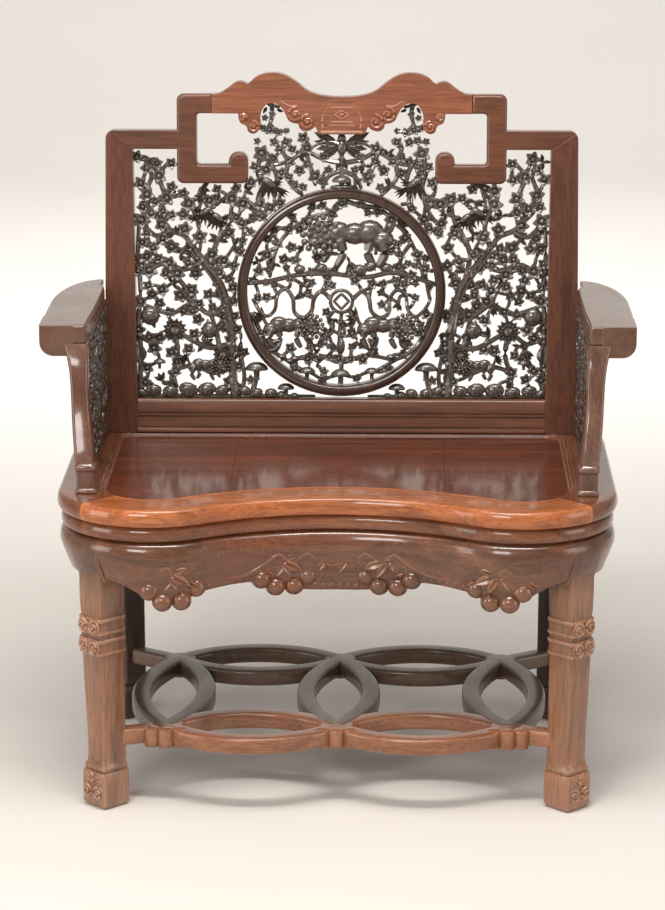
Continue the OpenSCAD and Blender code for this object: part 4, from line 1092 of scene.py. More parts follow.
@dataclass
class Lattice:
    """Interlaced bands between the legs: three rings along the depth and a lens between each two."""

    top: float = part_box("lattice_ring_centre")[1].z
    under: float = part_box("lattice_ring_centre")[0].z
    crossing: float = 0.27
    front_y: float = -0.186
    rear_y: float = 0.166
    ring_sag: float = 0.053
    lens_sag: float = 0.065
    band: float = 0.03
    roundness: float = 0.0055
    lap: float = 0.0005
    step: float = 0.00012
    hub: float = 0.026
    lobe: float = 0.0125

    def section(self, width: float) -> Plan:
        """Rounded section of a band, across and up."""
        return rounded_box_plan(width, self.top - self.under - self.lap, self.roundness, 4)

    def bowed(self, bm: BMesh, start: Vector, end: Vector, sag: float, drop: float) -> None:
        """Adds a bowed band from start to end that stands sag to the right of the line between them."""
        chord = (end - start).length / 2
        radius = (chord**2 + sag**2) / (2 * sag)
        ahead = (end - start).normalized()
        right = Vector((ahead.y, -ahead.x, 0.0))
        centre = (start + end) / 2 - right * (radius - sag)
        spread = asin(chord / radius)
        middle = (self.top + self.under - self.lap) / 2 - drop
        loops = []
        for i in range(41):
            turn = -spread + 2 * spread * i / 40
            away = right * cos(turn) + ahead * sin(turn)
            loops.append([centre + away * (radius + across) + Vector((0.0, 0.0, middle + up)) for across,
                up in self.section(self.band)])
        skin(bm, loops)

    def build_rings(self) -> None:
        """Makes and dresses the three rings."""
        for word, x in (("left", -self.crossing), ("centre", 0.0), ("right", self.crossing)):
            bm = bmesh.new()
            near, far = Vector((x, self.front_y, 0.0)), Vector((x, self.rear_y, 0.0))
            self.bowed(bm, near, far, self.ring_sag, 0.0)
            self.bowed(bm, far, near, self.ring_sag, self.step)
            node = f"lattice_ring_{word}"
            finish_piece(bm, f"{node}_rounded", LATTICE_DARK, [node])

    def build_lenses(self) -> None:
        """Makes and dresses the four lenses."""
        for row in Row:
            y = self.front_y if row is Row.FRONT else self.rear_y
            for side in Side:
                bm = bmesh.new()
                near, far = Vector((0.0, y, 0.0)), Vector((side.value * self.crossing, y, 0.0))
                drop = self.step * (4 + side.value)
                self.bowed(bm, near, far, self.lens_sag, drop)
                self.bowed(bm, far, near, self.lens_sag, drop + self.step)
                node = f"lattice_lens_{row.word}_{side.word}"
                finish = LATTICE_FRONT if row is Row.FRONT else LATTICE_DARK
                finish_piece(bm, f"{node}_rounded", finish, [node])

    def build_arms(self) -> None:
        """Makes and dresses the four straight arms from the crossings to the legs."""
        for row in Row:
            y = self.front_y if row is Row.FRONT else self.rear_y
            for side in Side:
                bm = bmesh.new()
                start = Vector((side.value * self.crossing, y, 0.0))
                leg = MITRES.leg(side, row) - MITRES.out(side, row) * 0.006
                ahead = (leg - start).normalized()
                right = Vector((ahead.y, -ahead.x, 0.0))
                middle = (self.top + self.under - self.lap) / 2 - self.lap * 1.5
                reach = (leg - start).length - 0.02
                loops = [[start + ahead * along + right * across + Vector((0.0, 0.0, middle + up))
                    for across, up in self.section(self.band - 0.002)] for along in (0.01, 0.04, reach)]
                skin(bm, loops)
                node = f"lattice_arm_{row.word}_{side.word}"
                finish_piece(bm, f"{node}_rounded", LATTICE_FRONT if row is Row.FRONT else LATTICE_DARK,
                    [node])

    def post(self, bm: BMesh, x: float, y: float, radius: float, low: float, high: float) -> None:
        """Adds an upright round block with softened rims."""
        soft = 0.0028
        steps = [(radius - soft, low), (radius - soft * 0.3, low + soft * 0.3), (radius, low + soft),
            (radius, high - soft), (radius - soft * 0.3, high - soft * 0.3), (radius - soft, high)]
        skin(bm, [[Vector((px, py, z)) for px, py in arc((x, y), r, 0, 360, 36)[:-1]] for r, z in steps])

    def build_blocks(self) -> None:
        """Makes and dresses the blocks at the crossings; the front ones end in three lobes with bead
        rims."""
        low, high = self.under - 0.004, self.top - 0.0012
        for word, x in (("left", -self.crossing), ("centre", 0.0), ("right", self.crossing)):
            bm = bmesh.new()
            self.post(bm, x, self.front_y, self.hub, low, high)
            for k, back in ((-1, 0.025), (0, 0.029), (1, 0.025)):
                at_x, at_y = x + k * 0.022, self.front_y - back
                self.post(bm, at_x, at_y, self.lobe, low, high + 0.0006)
                self.post(bm, at_x, at_y, self.lobe - 0.003, low + 0.001, high + 0.0018)
            finish_piece(bm, f"lattice_knuckle_{word}_lobed", LATTICE_FRONT, [f"lattice_knuckle_{word}"])
            bm = bmesh.new()
            self.post(bm, x, self.rear_y, self.hub, low, high)
            finish_piece(bm, f"lattice_hub_{word}_rounded", LATTICE_DARK, [f"lattice_hub_{word}"])

    def build(self) -> None:
        """Makes every piece of the lattice."""
        self.build_rings()
        self.build_lenses()
        self.build_arms()
        self.build_blocks()


# Back frame


def lay_on_back(bm: BMesh) -> None:
    """Moves a piece drawn across, through and up on to the leaning plane of the back."""
    bmesh.ops.transform(bm, matrix=BACK_PLACE, verts=bm.verts)


@dataclass
class BackFrame:
    """Posts, stepped shoulders, hook scrolls and the bottom rail of the leaning back."""

    thick: float = BACK_THICK
    post_inner: tuple[float, float] = (0.341, 0.346)
    post_outer: tuple[float, float] = (0.396, 0.391)
    post_top: float = 0.507
    step_low: float = 0.476
    corner: float = 0.014
    hook_inner: float = 0.24
    hook_outer: float = 0.273
    hook_end: float = 0.155
    hook_low: float = 0.419
    hook_floor: float = 0.451
    hook_ceiling: float = 0.535
    hook_high: float = 0.567
    knob: float = 0.032
    knob_top: float = 0.471
    crest_end: float = 0.215
    rail: float = 0.058
    softness: float = 0.0052

    def post(self, side: Side) -> None:
        """Makes and dresses one post, with its share of the mitred shoulder."""
        outline = [(self.post_inner[0], 0.0), (self.post_outer[0], 0.0)]
        centre = (self.post_outer[1] - self.corner, self.post_top - self.corner)
        outline += arc(centre, self.corner, 0, 45, 6)
        outline += [(self.post_inner[1], self.step_low)]
        bm = bmesh.new()
        plate(bm, outline, 0.0, self.thick, self.softness)
        self.place(bm, side, f"back_post_{side.word}", UPRIGHT)

    def place(self, bm: BMesh, side: Side, node: str, finish: WoodFinish) -> None:
        """Mirrors a right-hand piece if it is the left one, lays it on the back and dresses it."""
        if side is Side.LEFT:
            bmesh.ops.scale(bm, vec=(-1.0, 1.0, 1.0), verts=bm.verts)
        lay_on_back(bm)
        cut_away(bm, (0.0, 0.0, BACK_SEAT_Z + 0.0002), (0.0, 0.0, -1.0))
        finish_piece(bm, f"{node}_rounded", finish, [node], flat_faces=True)

    def shoulder(self, side: Side) -> None:
        """Makes and dresses the level rail from a post to the hook scroll."""
        centre = (self.post_outer[1] - self.corner, self.post_top - self.corner)
        outline = [(self.hook_outer - 0.006, self.step_low), (self.post_inner[1], self.step_low)]
        outline += arc(centre, self.corner, 45, 90, 6) + [(self.hook_outer - 0.006, self.post_top)]
        bm = bmesh.new()
        plate(bm, outline, 0.0, self.thick, self.softness)
        self.place(bm, side, f"step_rail_{side.word}", CROSSWISE)

    def hook_outline(self) -> Plan:
        """Outline of the scroll that frames the open window, anticlockwise from its lower inner corner."""
        big, small, tip = 0.011, 0.006, 0.0145
        x0, x1 = self.hook_end, self.hook_outer
        low, high = self.hook_low, self.hook_high
        outline = arc((x0 + big, low + big), big, 180, 270, 6)
        outline += arc((x1 - big, low + big), big, 270, 360, 6)
        outline += arc((x1 - big, high - big), big, 0, 90, 6)
        outline += [(self.crest_end, high), (self.crest_end, self.hook_ceiling)]
        outline += arc((self.hook_inner - small, self.hook_ceiling - small), small, 90, 0, 5)
        outline += arc((self.hook_inner - small, self.hook_floor + small), small, 360, 270, 5)
        outline += [(x0 + self.knob + 0.001, self.hook_floor)]
        outline += arc((x0 + self.knob - tip, self.knob_top - tip), tip, 0, 90, 6)
        outline += arc((x0 + tip, self.knob_top - tip), tip, 90, 180, 6)
        return outline

    def hook(self, side: Side) -> None:
        """Makes and dresses one hook scroll."""
        bm = bmesh.new()
        plate(bm, self.hook_outline(), 0.0, self.thick, self.softness)
        self.place(bm, side, f"hook_scroll_{side.word}", CROSSWISE)

    def bottom_rail(self) -> None:
        """Makes and dresses the rail on the seat, with a bright bead at its foot and scratched lines
        above."""
        half = self.post_inner[0]
        profile = [(0.0, 0.001), (-0.0028, 0.0022), (-0.0036, 0.005), (-0.0028, 0.0078), (0.0, 0.009),
            (0.0009, 0.0095), (0.0009, 0.0112), (0.0, 0.0118), (0.0, 0.0265), (0.0011, 0.0272),
            (0.0011, 0.0288), (0.0, 0.0295), (0.0, 0.0325), (0.0011, 0.0332), (0.0011, 0.0348),
            (0.0, 0.0355), (0.0, 0.0525), (0.0008, 0.0555), (0.003, 0.0575), (0.006, self.rail),
            (0.028, self.rail), (0.032, 0.0565), (self.thick, 0.053), (self.thick, 0.001)]
        bm = bmesh.new()
        skin(bm, [[Vector((x, y, z)) for y, z in profile] for x in (-half, -half / 3, half / 3, half)])
        lay_on_back(bm)
        cut_away(bm, (0.0, 0.0, BACK_SEAT_Z + 0.0002), (0.0, 0.0, -1.0))
        finish_piece(bm, "back_bottom_rail_moulded", CROSSWISE, ["back_bottom_rail"])

    def build(self) -> None:
        """Makes every piece of the back's frame."""
        for side in Side:
            self.post(side)
            self.shoulder(side)
            self.hook(side)
        self.bottom_rail()


@dataclass
class Crest:
    """The saddle-shaped crest with humps, carved curls and a plain geometric ornament in its middle."""

    end: float = 0.215
    high: float = 0.567
    low: float = 0.535
    softness: float = 0.005

    def top_line(self) -> Plan:
        """Upper outline from the middle to the end, across and up."""
        saddle = [(0.0, 0.5625), (0.022, 0.5635), (0.041, 0.567), (0.058, 0.574), (0.074, 0.587),
            (0.091, 0.5975), (0.104, 0.6015), (0.116, 0.6022), (0.13, 0.6005), (0.143, 0.5945),
            (0.151, 0.5868), (0.156, 0.5838)]
        shoulder = [(0.156, 0.5838), (0.161, 0.5865), (0.168, 0.588), (0.176, 0.5862), (0.188, 0.577),
            (0.2, 0.5695), (0.208, 0.5672), (self.end, self.high)]
        return [(p.x, p.y) for p in smooth_line(saddle, 3)[:-1] + smooth_line(shoulder, 3)]

    def lower_line(self) -> Plan:
        """Lower outline from the end to the middle, with the arch between two curls."""
        drop = [(0.171, self.low), (0.1705, 0.527), (0.167, 0.519), (0.161, 0.5165), (0.157, 0.513),
            (0.155, 0.506), (0.149, 0.502), (0.142, 0.503), (0.136, 0.509), (0.134, 0.518), (0.135, 0.53),
            (0.131, 0.542), (0.125, 0.5495), (0.118, 0.552), (0.108, 0.551), (0.099, 0.544),
            (0.093, 0.534), (0.088, 0.524), (0.08, 0.5195), (0.072, 0.518), (0.07, 0.512), (0.064, 0.5065),
            (0.055, 0.5065), (0.047, 0.5105), (0.0435, 0.514)]
        return [(self.end, self.low)] + [(p.x, p.y) for p in smooth_line(drop, 3)] + [(0.0385, 0.5015),
            (0.0, 0.5012)]

    def curl(self, bm: BMesh, x: float, up: float, radius: float, sign: int, start: float) -> None:
        """Adds a raised curl with an eye in the middle."""
        path = []
        for i in range(22):
            share = i / 21
            turn = radians(start + sign * 470 * share)
            reach = radius * (1 - 0.75 * share)
            path.append(Vector((x + reach * cos(turn), -0.0004 - 0.0012 * share, up + reach * sin(turn))))
        tube(bm, path, 0.0029, 0.0019, 7)
        stamp(bm, ball_shape(), moved((x, -0.0005, up)) @ Matrix.Diagonal(
            (radius * 0.3, 0.0035, radius * 0.3, 1)))

    def ornament(self, bm: BMesh) -> None:
        """Adds the cartouche: a framed bar at its foot and a lozenge between stepped lines."""
        bars = [(0.034, 0.5045, 0.0035), (0.022, 0.516, 0.0013), (0.018, 0.5215, 0.0013),
            (0.019, 0.5455, 0.0013)]
        for half, up, thick in bars:
            tube(bm, [Vector((x, 0.0006, up)) for x in (-half, -half / 3, half / 3, half)], thick, thick, 8)
        lozenge = track(-12, 533.5, 0, 540.5, 12, 533.5, 0, 526.5)
        ring = lozenge + [lozenge[0]]
        for (x0, z0), (x1, z1) in zip(ring, ring[1:]):
            tube(bm, [Vector((x0, -0.0002, z0)), Vector((x1, -0.0002, z1))], 0.0015, 0.0015, 6)
        stamp(bm, ball_shape(), moved((0.0, 0.0, 0.5335)) @ sized(0.005, 0.0032, 0.0036))
        for sign in (-1, 1):
            frame_line = track(31, 511, 32.5, 522, 30, 534, 23.5, 545, 20, 552.5)
            path = [Vector((sign * p.x, 0.0004, p.y)) for p in smooth_line(frame_line, 4)]
            tube(bm, path, 0.0017, 0.0013, 6)
            for k in range(4):
                at = moved((sign * (0.005 + 0.0052 * k), 0.0004, 0.5565 - 0.0003 * k))
                stamp(bm, ball_shape(), at @ Matrix.Scale(0.0018, 4))

    def build(self) -> None:
        """Makes and dresses the crest and the openwork that hangs in its arches."""
        bm = bmesh.new()
        half = self.top_line() + self.lower_line()
        outline = half + [(-x, z) for x, z in reversed(half[1:-1])]
        plate(bm, outline, 0.0, BACK_THICK, self.softness)
        for sign in (-1, 1):
            self.curl(bm, sign * 0.146, 0.5135, 0.0095, sign, 90)
            self.curl(bm, sign * 0.0765, 0.5335, 0.0125, -sign, 90)
            self.curl(bm, sign * 0.0565, 0.5215, 0.0125, -sign, 90)
            self.curl(bm, sign * 0.163, 0.5285, 0.0065, -sign, 200 if sign > 0 else -20)
            rib = track(100, 556, 88, 548, 73.5, 547.5)
            tube(bm, [Vector((sign * p.x, 0.0006, p.y)) for p in smooth_line(rib, 4)], 0.0012, 0.0024, 6)
        self.ornament(bm)
        lay_on_back(bm)
        finish_piece(bm, "crest_rail_carved", CREST_WOOD, ["crest_rail"], flat_faces=True)
        self.build_pendants()

    def build_pendants(self) -> None:
        """Makes and dresses the small openwork sprays in the two arches."""
        carving = Carving(seed=11)
        for sign in (-1, 1):
            x = sign * 0.001
            carving.stem([(118 * x, 0.551), (115 * x, 0.534), (119 * x, 0.516)], 0.0042, 0.0036)
            carving.stem([(119 * x, 0.516), (106 * x, 0.5045), (88 * x, 0.5065)], 0.0036, 0.0028)
            carving.stem([(119 * x, 0.516), (128 * x, 0.506), (139 * x, 0.513)], 0.0036, 0.0028)
            carving.stem([(122 * x, 0.55), (112 * x, 0.547), (104 * x, 0.5445)], 0.0034, 0.0026)
            for bx, up, radius in ((106, 0.5035, 0.0075), (120, 0.5075, 0.0085), (131, 0.5105, 0.006),
                    (115, 0.533, 0.006), (127, 0.527, 0.0055), (92, 0.5055, 0.0055)):
                carving.blossom(bx * x, up, radius)
            carving.leaf(124 * x, 0.545, -60 if sign > 0 else 240, 0.013)
            carving.leaf(108 * x, 0.541, 200 if sign > 0 else -20, 0.012)
        carving.finish("crest_pendants_carved", ["crest_pendants"])


# Openwork carving


class Carving:
    """A pierced board carved in relief on both faces, drawn across and up on the back."""

    def __init__(self, seed: int, finish: WoodFinish = CARVED) -> None:
        """Starts an empty carving with its own random seed and finish."""
        self.bm = bmesh.new()
        self.random = random.Random(seed)
        self.finish_used = finish
        self.taken: list[tuple[float, float, float]] = []

    def place(self, x: float, up: float, out: float = 0.0) -> Vector:
        """A point out from the middle of the board's thickness."""
        return Vector((x, BOARD_MID - out, up))

    def facing(self, x: float, up: float, out: float, spin: float = 0.0, tilt: float = 0.0) -> Matrix:
        """A place that turns a shape's +Z to the front, spun in the board's plane and tilted a little."""
        turn = FACE_FRONT @ Matrix.Rotation(radians(spin), 4, "Z")
        lean = Matrix.Rotation(tilt, 4, "X")
        return moved(self.place(x, up, out)) @ turn @ lean

    def stem(self, points: Sequence[Sequence[float]], start: float, end: float, out: float = 0.0,
            wave: float = 0.0015) -> None:
        """Adds a tapered stem through points, rising and dipping slightly through the board."""
        line = smooth_line(points, 4)
        phase = self.random.random() * tau
        path = []
        for i, p in enumerate(line):
            path.append(self.place(p.x, p.y, out + wave * sin(phase + i * 0.7)))
        tube(self.bm, path, start, end, 7)

    def blossom(self, x: float, up: float, radius: float, out: float = 0.003) -> None:
        """Adds a five-petalled flower, with a plainer one behind it."""
        spin = self.random.uniform(0, 72)
        tilt = self.random.uniform(-0.22, 0.22)
        height = min(radius * 0.95, 0.0105)
        place = self.facing(x, up, out, spin, tilt)
        wide = radius * 1.24
        stamp(self.bm, blossom_shape(), place @ sized(wide, wide, height))
        behind = moved(self.place(x, up, -0.002)) @ sized(radius * 0.8, 0.0045, radius * 0.8)
        stamp(self.bm, ball_shape(), behind)
        self.taken.append((x, up, radius))

    def chrysanthemum(self, x: float, up: float, radius: float) -> None:
        """Adds a many-petalled flower."""
        place = self.facing(x, up, 0.002, self.random.uniform(0, 30))
        stamp(self.bm, chrysanthemum_shape(), place @ sized(radius, radius, 0.0125))
        self.taken.append((x, up, radius))

    def leaf(self, x: float, up: float, angle: float, length: float, out: float = 0.001,
            width: float = 0.5) -> None:
        """Adds a leaf that starts at a point and runs along an angle in degrees."""
        place = self.facing(x, up, out, angle, self.random.uniform(-0.2, 0.2))
        stamp(self.bm, leaf_shape(), place @ sized(length, length * width, 0.0055))
        turn = radians(angle)
        reach = length / 2
        self.taken.append((x + reach * cos(turn), up + reach * sin(turn), reach * 0.7))

    def ball(self, x: float, up: float, size: tuple[float, float, float], out: float = 0.0,
            spin: float = 0.0) -> None:
        """Adds a rounded mass with half sizes across, up and out."""
        place = self.facing(x, up, out, spin)
        stamp(self.bm, ball_shape(), place @ sized(size[0], size[1], size[2]))

    def fruit(self, x: float, up: float, radius: float, angle: float) -> None:
        """Adds a peach with a pointed tip and two leaves."""
        turn = radians(angle)
        self.ball(x, up, (radius, radius * 0.94, radius * 0.62), 0.001, angle)
        tip = (x + cos(turn) * radius * 1.25, up + sin(turn) * radius * 1.25)
        self.stem([(x, up), tip], radius * 0.62, radius * 0.12, 0.001, 0.0)
        for spread in (-35, 35):
            self.leaf(x - cos(turn) * radius * 0.9, up - sin(turn) * radius * 0.9, angle + spread,
                radius * 1.7, 0.003, 0.36)
        self.taken.append((x, up, radius))

    def fungus(self, x: float, up: float, radius: float, out: float = 0.003) -> None:
        """Adds a domed cap on a short stalk."""
        place = moved(self.place(x, up, out)) @ FACE_FRONT
        stamp(self.bm, fungus_shape(), place @ sized(radius, radius * 0.92, min(radius * 0.7, 0.011)))
        self.taken.append((x, up, radius))

    def bird(self, x: float, up: float, angle: float, length: float, flip: int = 1) -> None:
        """Adds a bird in flight: body, head, beak, two fans of feathers and a long tail."""
        turn = radians(angle)
        ahead = (cos(turn), sin(turn))
        self.ball(x, up, (length * 0.26, length * 0.12, 0.006), 0.003, angle)
        head = (x + ahead[0] * length * 0.3, up + ahead[1] * length * 0.3)
        self.ball(*head, (length * 0.1, length * 0.09, 0.006), 0.004, angle)
        self.leaf(*head, angle, length * 0.2, 0.003, 0.3)
        for k in range(5):
            self.leaf(x + ahead[0] * length * (0.1 - 0.05 * k), up + ahead[1] * length * (0.1 - 0.05 * k),
                angle + flip * (95 + 14 * k), length * (0.62 - 0.05 * k), 0.002, 0.24)
        for k in range(3):
            self.leaf(x - ahead[0] * length * 0.08, up - ahead[1] * length * 0.08,
                angle - flip * (120 + 16 * k), length * (0.42 - 0.04 * k), 0.0, 0.26)
        for k in (-1, 0, 1):
            self.leaf(x - ahead[0] * length * 0.2, up - ahead[1] * length * 0.2, angle + 180 + 12 * k,
                length * 0.5, 0.001, 0.2)

    def limb(self, points: Sequence[Sequence[float]], start: float, end: float, out: float = 0.002) -> None:
        """Adds a leg or neck of a beast."""
        self.stem(points, start, end, out, 0.0)

    def beast(self, x: float, up: float, size: float, face: int) -> None:
        """Adds a lion-like beast: back and haunch, four legs, a curled mane, muzzle and a tufted tail.

        Args:
            x: Middle of the body, across.
            up: Middle of the body, up.
            size: Length of the body.
            face: -1 if it looks to the left, 1 to the right.
        """
        s = size
        long = face * s
        back = ((-0.46, -0.06, 0.2), (-0.25, 0.06, 0.25), (0.0, 0.04, 0.22), (0.28, 0.05, 0.23))
        for share, lift, reach in back:
            half_sizes = (s * reach, s * reach * 0.86, min(0.011, s * 0.12))
            self.ball(x + long * share, up + s * lift, half_sizes, 0.002)
        for x0, up0, x1, up1, x2, up2, thick, thin, out in (
            (-0.42, -0.05, -0.5, -0.3, -0.4, -0.5, 0.12, 0.065, 0.004),
            (-0.28, -0.05, -0.22, -0.3, -0.3, -0.46, 0.1, 0.06, 0.0),
            (0.25, -0.05, 0.2, -0.3, 0.3, -0.5, 0.1, 0.06, 0.004),
            (0.38, -0.05, 0.44, -0.28, 0.52, -0.42, 0.09, 0.055, 0.0),
        ):
            joints = ((x0, up0), (x1, up1), (x2, up2))
            self.limb([(x + long * a, up + s * b) for a, b in joints], s * thick, s * thin, out)
        hx, hu = x + long * 0.56, up + s * 0.02
        self.ball(hx, hu, (s * 0.24, s * 0.24, 0.008), 0.003)
        for ring, count in ((0.3, 15), (0.2, 10), (0.1, 5)):
            for k in range(count):
                turn = tau * k / count + ring * 9
                self.ball(hx + s * ring * cos(turn), hu + s * ring * sin(turn),
                    (s * 0.058, s * 0.058, 0.0045), 0.0075 + 0.004 * (0.3 - ring))
        self.ball(hx + long * 0.12, hu - s * 0.12, (s * 0.1, s * 0.08, 0.006), 0.009)
        tail = (x - long * 0.6, up + s * 0.12)
        self.limb([(x - long * 0.48, up), tail, (x - long * 0.66, up + s * 0.3)], s * 0.05, s * 0.05)
        for k in range(6):
            self.leaf(tail[0] - long * 0.04, tail[1] + s * 0.1, 90 + face * (12 + 22 * k), s * 0.32,
                0.002, 0.3)
        self.taken += [(x, up, s * 0.42), (hx, hu, s * 0.3), (x - long * 0.55, up + s * 0.2, s * 0.2),
            (x + long * 0.3, up - s * 0.3, s * 0.2), (x - long * 0.35, up - s * 0.3, s * 0.2)]

    def rocks(self, points: Sequence[tuple[float, float, float]]) -> None:
        """Adds rounded rocks with ridges over them."""
        for x, up, radius in points:
            self.ball(x, up, (radius, radius * 0.75, 0.007), 0.001, self.random.uniform(-20, 20))
            for k in (-1, 0, 1):
                self.stem([(x + radius * (0.5 * k - 0.3), up + radius * 0.45), (x + radius * 0.4 * k, up),
                    (x + radius * (0.5 * k + 0.2), up - radius * 0.5)], radius * 0.1, radius * 0.13,
                    0.0055, 0.0)
            self.taken.append((x, up, radius * 0.8))

    def free(self, x: float, up: float, radius: float, spacing: float) -> bool:
        """Whether a flower of that radius fits among what is already placed."""
        return all((x - tx) ** 2 + (up - tu) ** 2 > ((radius + taken) * spacing) ** 2 for tx, tu,
            taken in self.taken)

    def fill(self, inside: Callable[[float, float], bool], box: tuple[float, float, float, float],
            count: int, radii: tuple[float, float], spacing: float) -> None:
        """Scatters flowers and leaves into what is free, and ties each to its neighbours with twigs.

        Args:
            inside: Whether a point may be filled.
            box: Lowest across and up, highest across and up.
            count: Number of tries.
            radii: Smallest and largest flower.
            spacing: Share of the sum of two radii that their middles keep apart.
        """
        for _ in range(count):
            x, up = self.random.uniform(box[0], box[2]), self.random.uniform(box[1], box[3])
            radius = self.random.uniform(*radii)
            if not inside(x, up) or not self.free(x, up, radius, spacing):
                continue
            near = sorted(self.taken, key=lambda t: (t[0] - x) ** 2 + (t[1] - up) ** 2)[:3]
            for tx, tu, _ in near[:2]:
                if (tx - x) ** 2 + (tu - up) ** 2 < 0.045**2:
                    bend = self.random.uniform(-0.004, 0.004)
                    self.stem([(x, up), ((x + tx) / 2 + bend, (up + tu) / 2 - bend), (tx, tu)], 0.0031,
                        0.0035, -0.001)
            if self.random.random() < 0.78:
                self.blossom(x, up, radius, 0.002)
            else:
                for k in range(3):
                    self.leaf(x, up, self.random.uniform(0, 360), radius * 1.6, 0.001)

    def finish(self, name: str, nodes: Sequence[str], mirror: bool = False) -> None:
        """Lays the carving on the back, dresses it and puts it in the nodes' place."""
        if mirror:
            bmesh.ops.scale(self.bm, vec=(-1.0, 1.0, 1.0), verts=self.bm.verts)
        lay_on_back(self.bm)
        finish_piece(self.bm, name, self.finish_used, nodes, sharp=50)


@dataclass
class SideBoard:
    """The flowering tree that fills a side of the back, drawn for the right-hand side."""

    side: Side
    inner: float = 0.1715
    outer: float = 0.3445
    floor: float = 0.058
    shoulder: float = 0.412
    tower: float = 0.282
    tower_top: float = 0.462
    ring: float = 0.1745
    ring_up: float = 0.237

    def inside(self, x: float, up: float) -> bool:
        """Whether a point lies on the board."""
        if hypot(x, up - self.ring_up) < self.ring + 0.004:
            return False
        return up < (self.tower_top if x > self.tower else self.shoulder) and x < self.outer - 0.004

    def branches(self, work: Carving) -> None:
        """Carves the trunk and the main branches."""
        trunk = track(178, 60, 184, 120, 183, 170, 190, 215, 205, 255, 230, 290, 248, 312)
        work.stem(trunk, 0.0082, 0.0048, 0.0005)
        work.stem([(x + 0.006, up - 0.004) for x, up in trunk[2:]], 0.003, 0.0022, 0.004)
        limbs = [
            track(248, 312, 262, 330, 285, 340, 297, 352, 302, 375, 292, 394),
            track(285, 340, 310, 330, 334, 354),
            track(297, 352, 320, 375, 326, 400, 316, 430, 324, 447),
            track(292, 394, 300, 415, 304, 432, 288, 452),
            track(248, 312, 238, 345, 252, 384),
            track(205, 255, 214, 300, 200, 335, 186, 360, 182, 392),
            track(230, 290, 262, 274, 296, 284, 322, 272),
            track(190, 215, 218, 198, 250, 216, 285, 200, 325, 212),
            track(184, 150, 220, 142, 252, 156, 280, 170, 310, 150, 337, 160),
            track(184, 110, 214, 100, 250, 112, 290, 100),
            track(280, 170, 274, 130, 286, 90, 280, 66),
            track(339, 70, 336, 130, 340, 180, 336, 240, 340, 300, 337, 360),
            track(250, 216, 262, 245, 296, 284),
            track(204, 140, 210, 170, 218, 198),
        ]
        for points in limbs:
            work.stem(points, 0.0052, 0.0038, 0.0, 0.0022)

    def motifs(self, work: Carving) -> None:
        """Carves the listed flowers, fruit, bird, beast and rocks."""
        work.chrysanthemum(0.279, 0.171, 0.0225)
        work.chrysanthemum(0.199, 0.131, 0.018)
        work.fruit(0.32, 0.196, 0.017, 250)
        work.fruit(0.221, 0.172, 0.0145, 80)
        work.leaf(0.338, 0.115, 88, 0.036, 0.003, 0.7)
        work.fungus(0.305, 0.118, 0.011)
        flowers = [(324, 399, 12), (291, 393, 12.5), (333, 356, 13.5), (299, 349, 12), (254, 384, 13),
            (261, 342, 11.5), (236, 329, 12), (283, 312, 12), (321, 272, 13), (274, 267, 12),
            (188, 336, 11), (196, 289, 10.5), (304, 430, 12), (324, 443, 10), (283, 451, 9.5),
            (182, 392, 12), (314, 310, 10), (250, 240, 11), (300, 240, 11), (222, 232, 10), (240, 190, 10),
            (316, 232, 9.5), (256, 140, 10), (322, 160, 10)]
        for x, up, radius in flowers:
            work.blossom(x * MM, up * MM, radius * MM)
        work.bird(0.226, 0.372, 150, 0.05)
        work.bird(0.206, 0.362, 40, 0.045, -1)
        work.beast(0.228, 0.112, 0.046, -1)
        work.rocks([(0.2, 0.07, 0.013), (0.226, 0.072, 0.016), (0.257, 0.071, 0.017),
            (0.287, 0.068, 0.014), (0.315, 0.07, 0.014), (0.334, 0.066, 0.01)])

    def build(self) -> None:
        """Makes and dresses the board."""
        work = Carving(seed=40 + self.side.value)
        self.branches(work)
        self.motifs(work)
        work.fill(self.inside, (self.inner, self.floor + 0.01, self.outer, self.tower_top), 1500,
            (0.0085, 0.012), 0.84)
        work.stem(track(173, 61, 230, 60.5, 290, 61, 340, 60.5), 0.0038, 0.0038, 0.0, 0.0)
        node = f"back_board_{self.side.word}"
        work.finish(f"{node}_carved", [node], self.side is Side.LEFT)


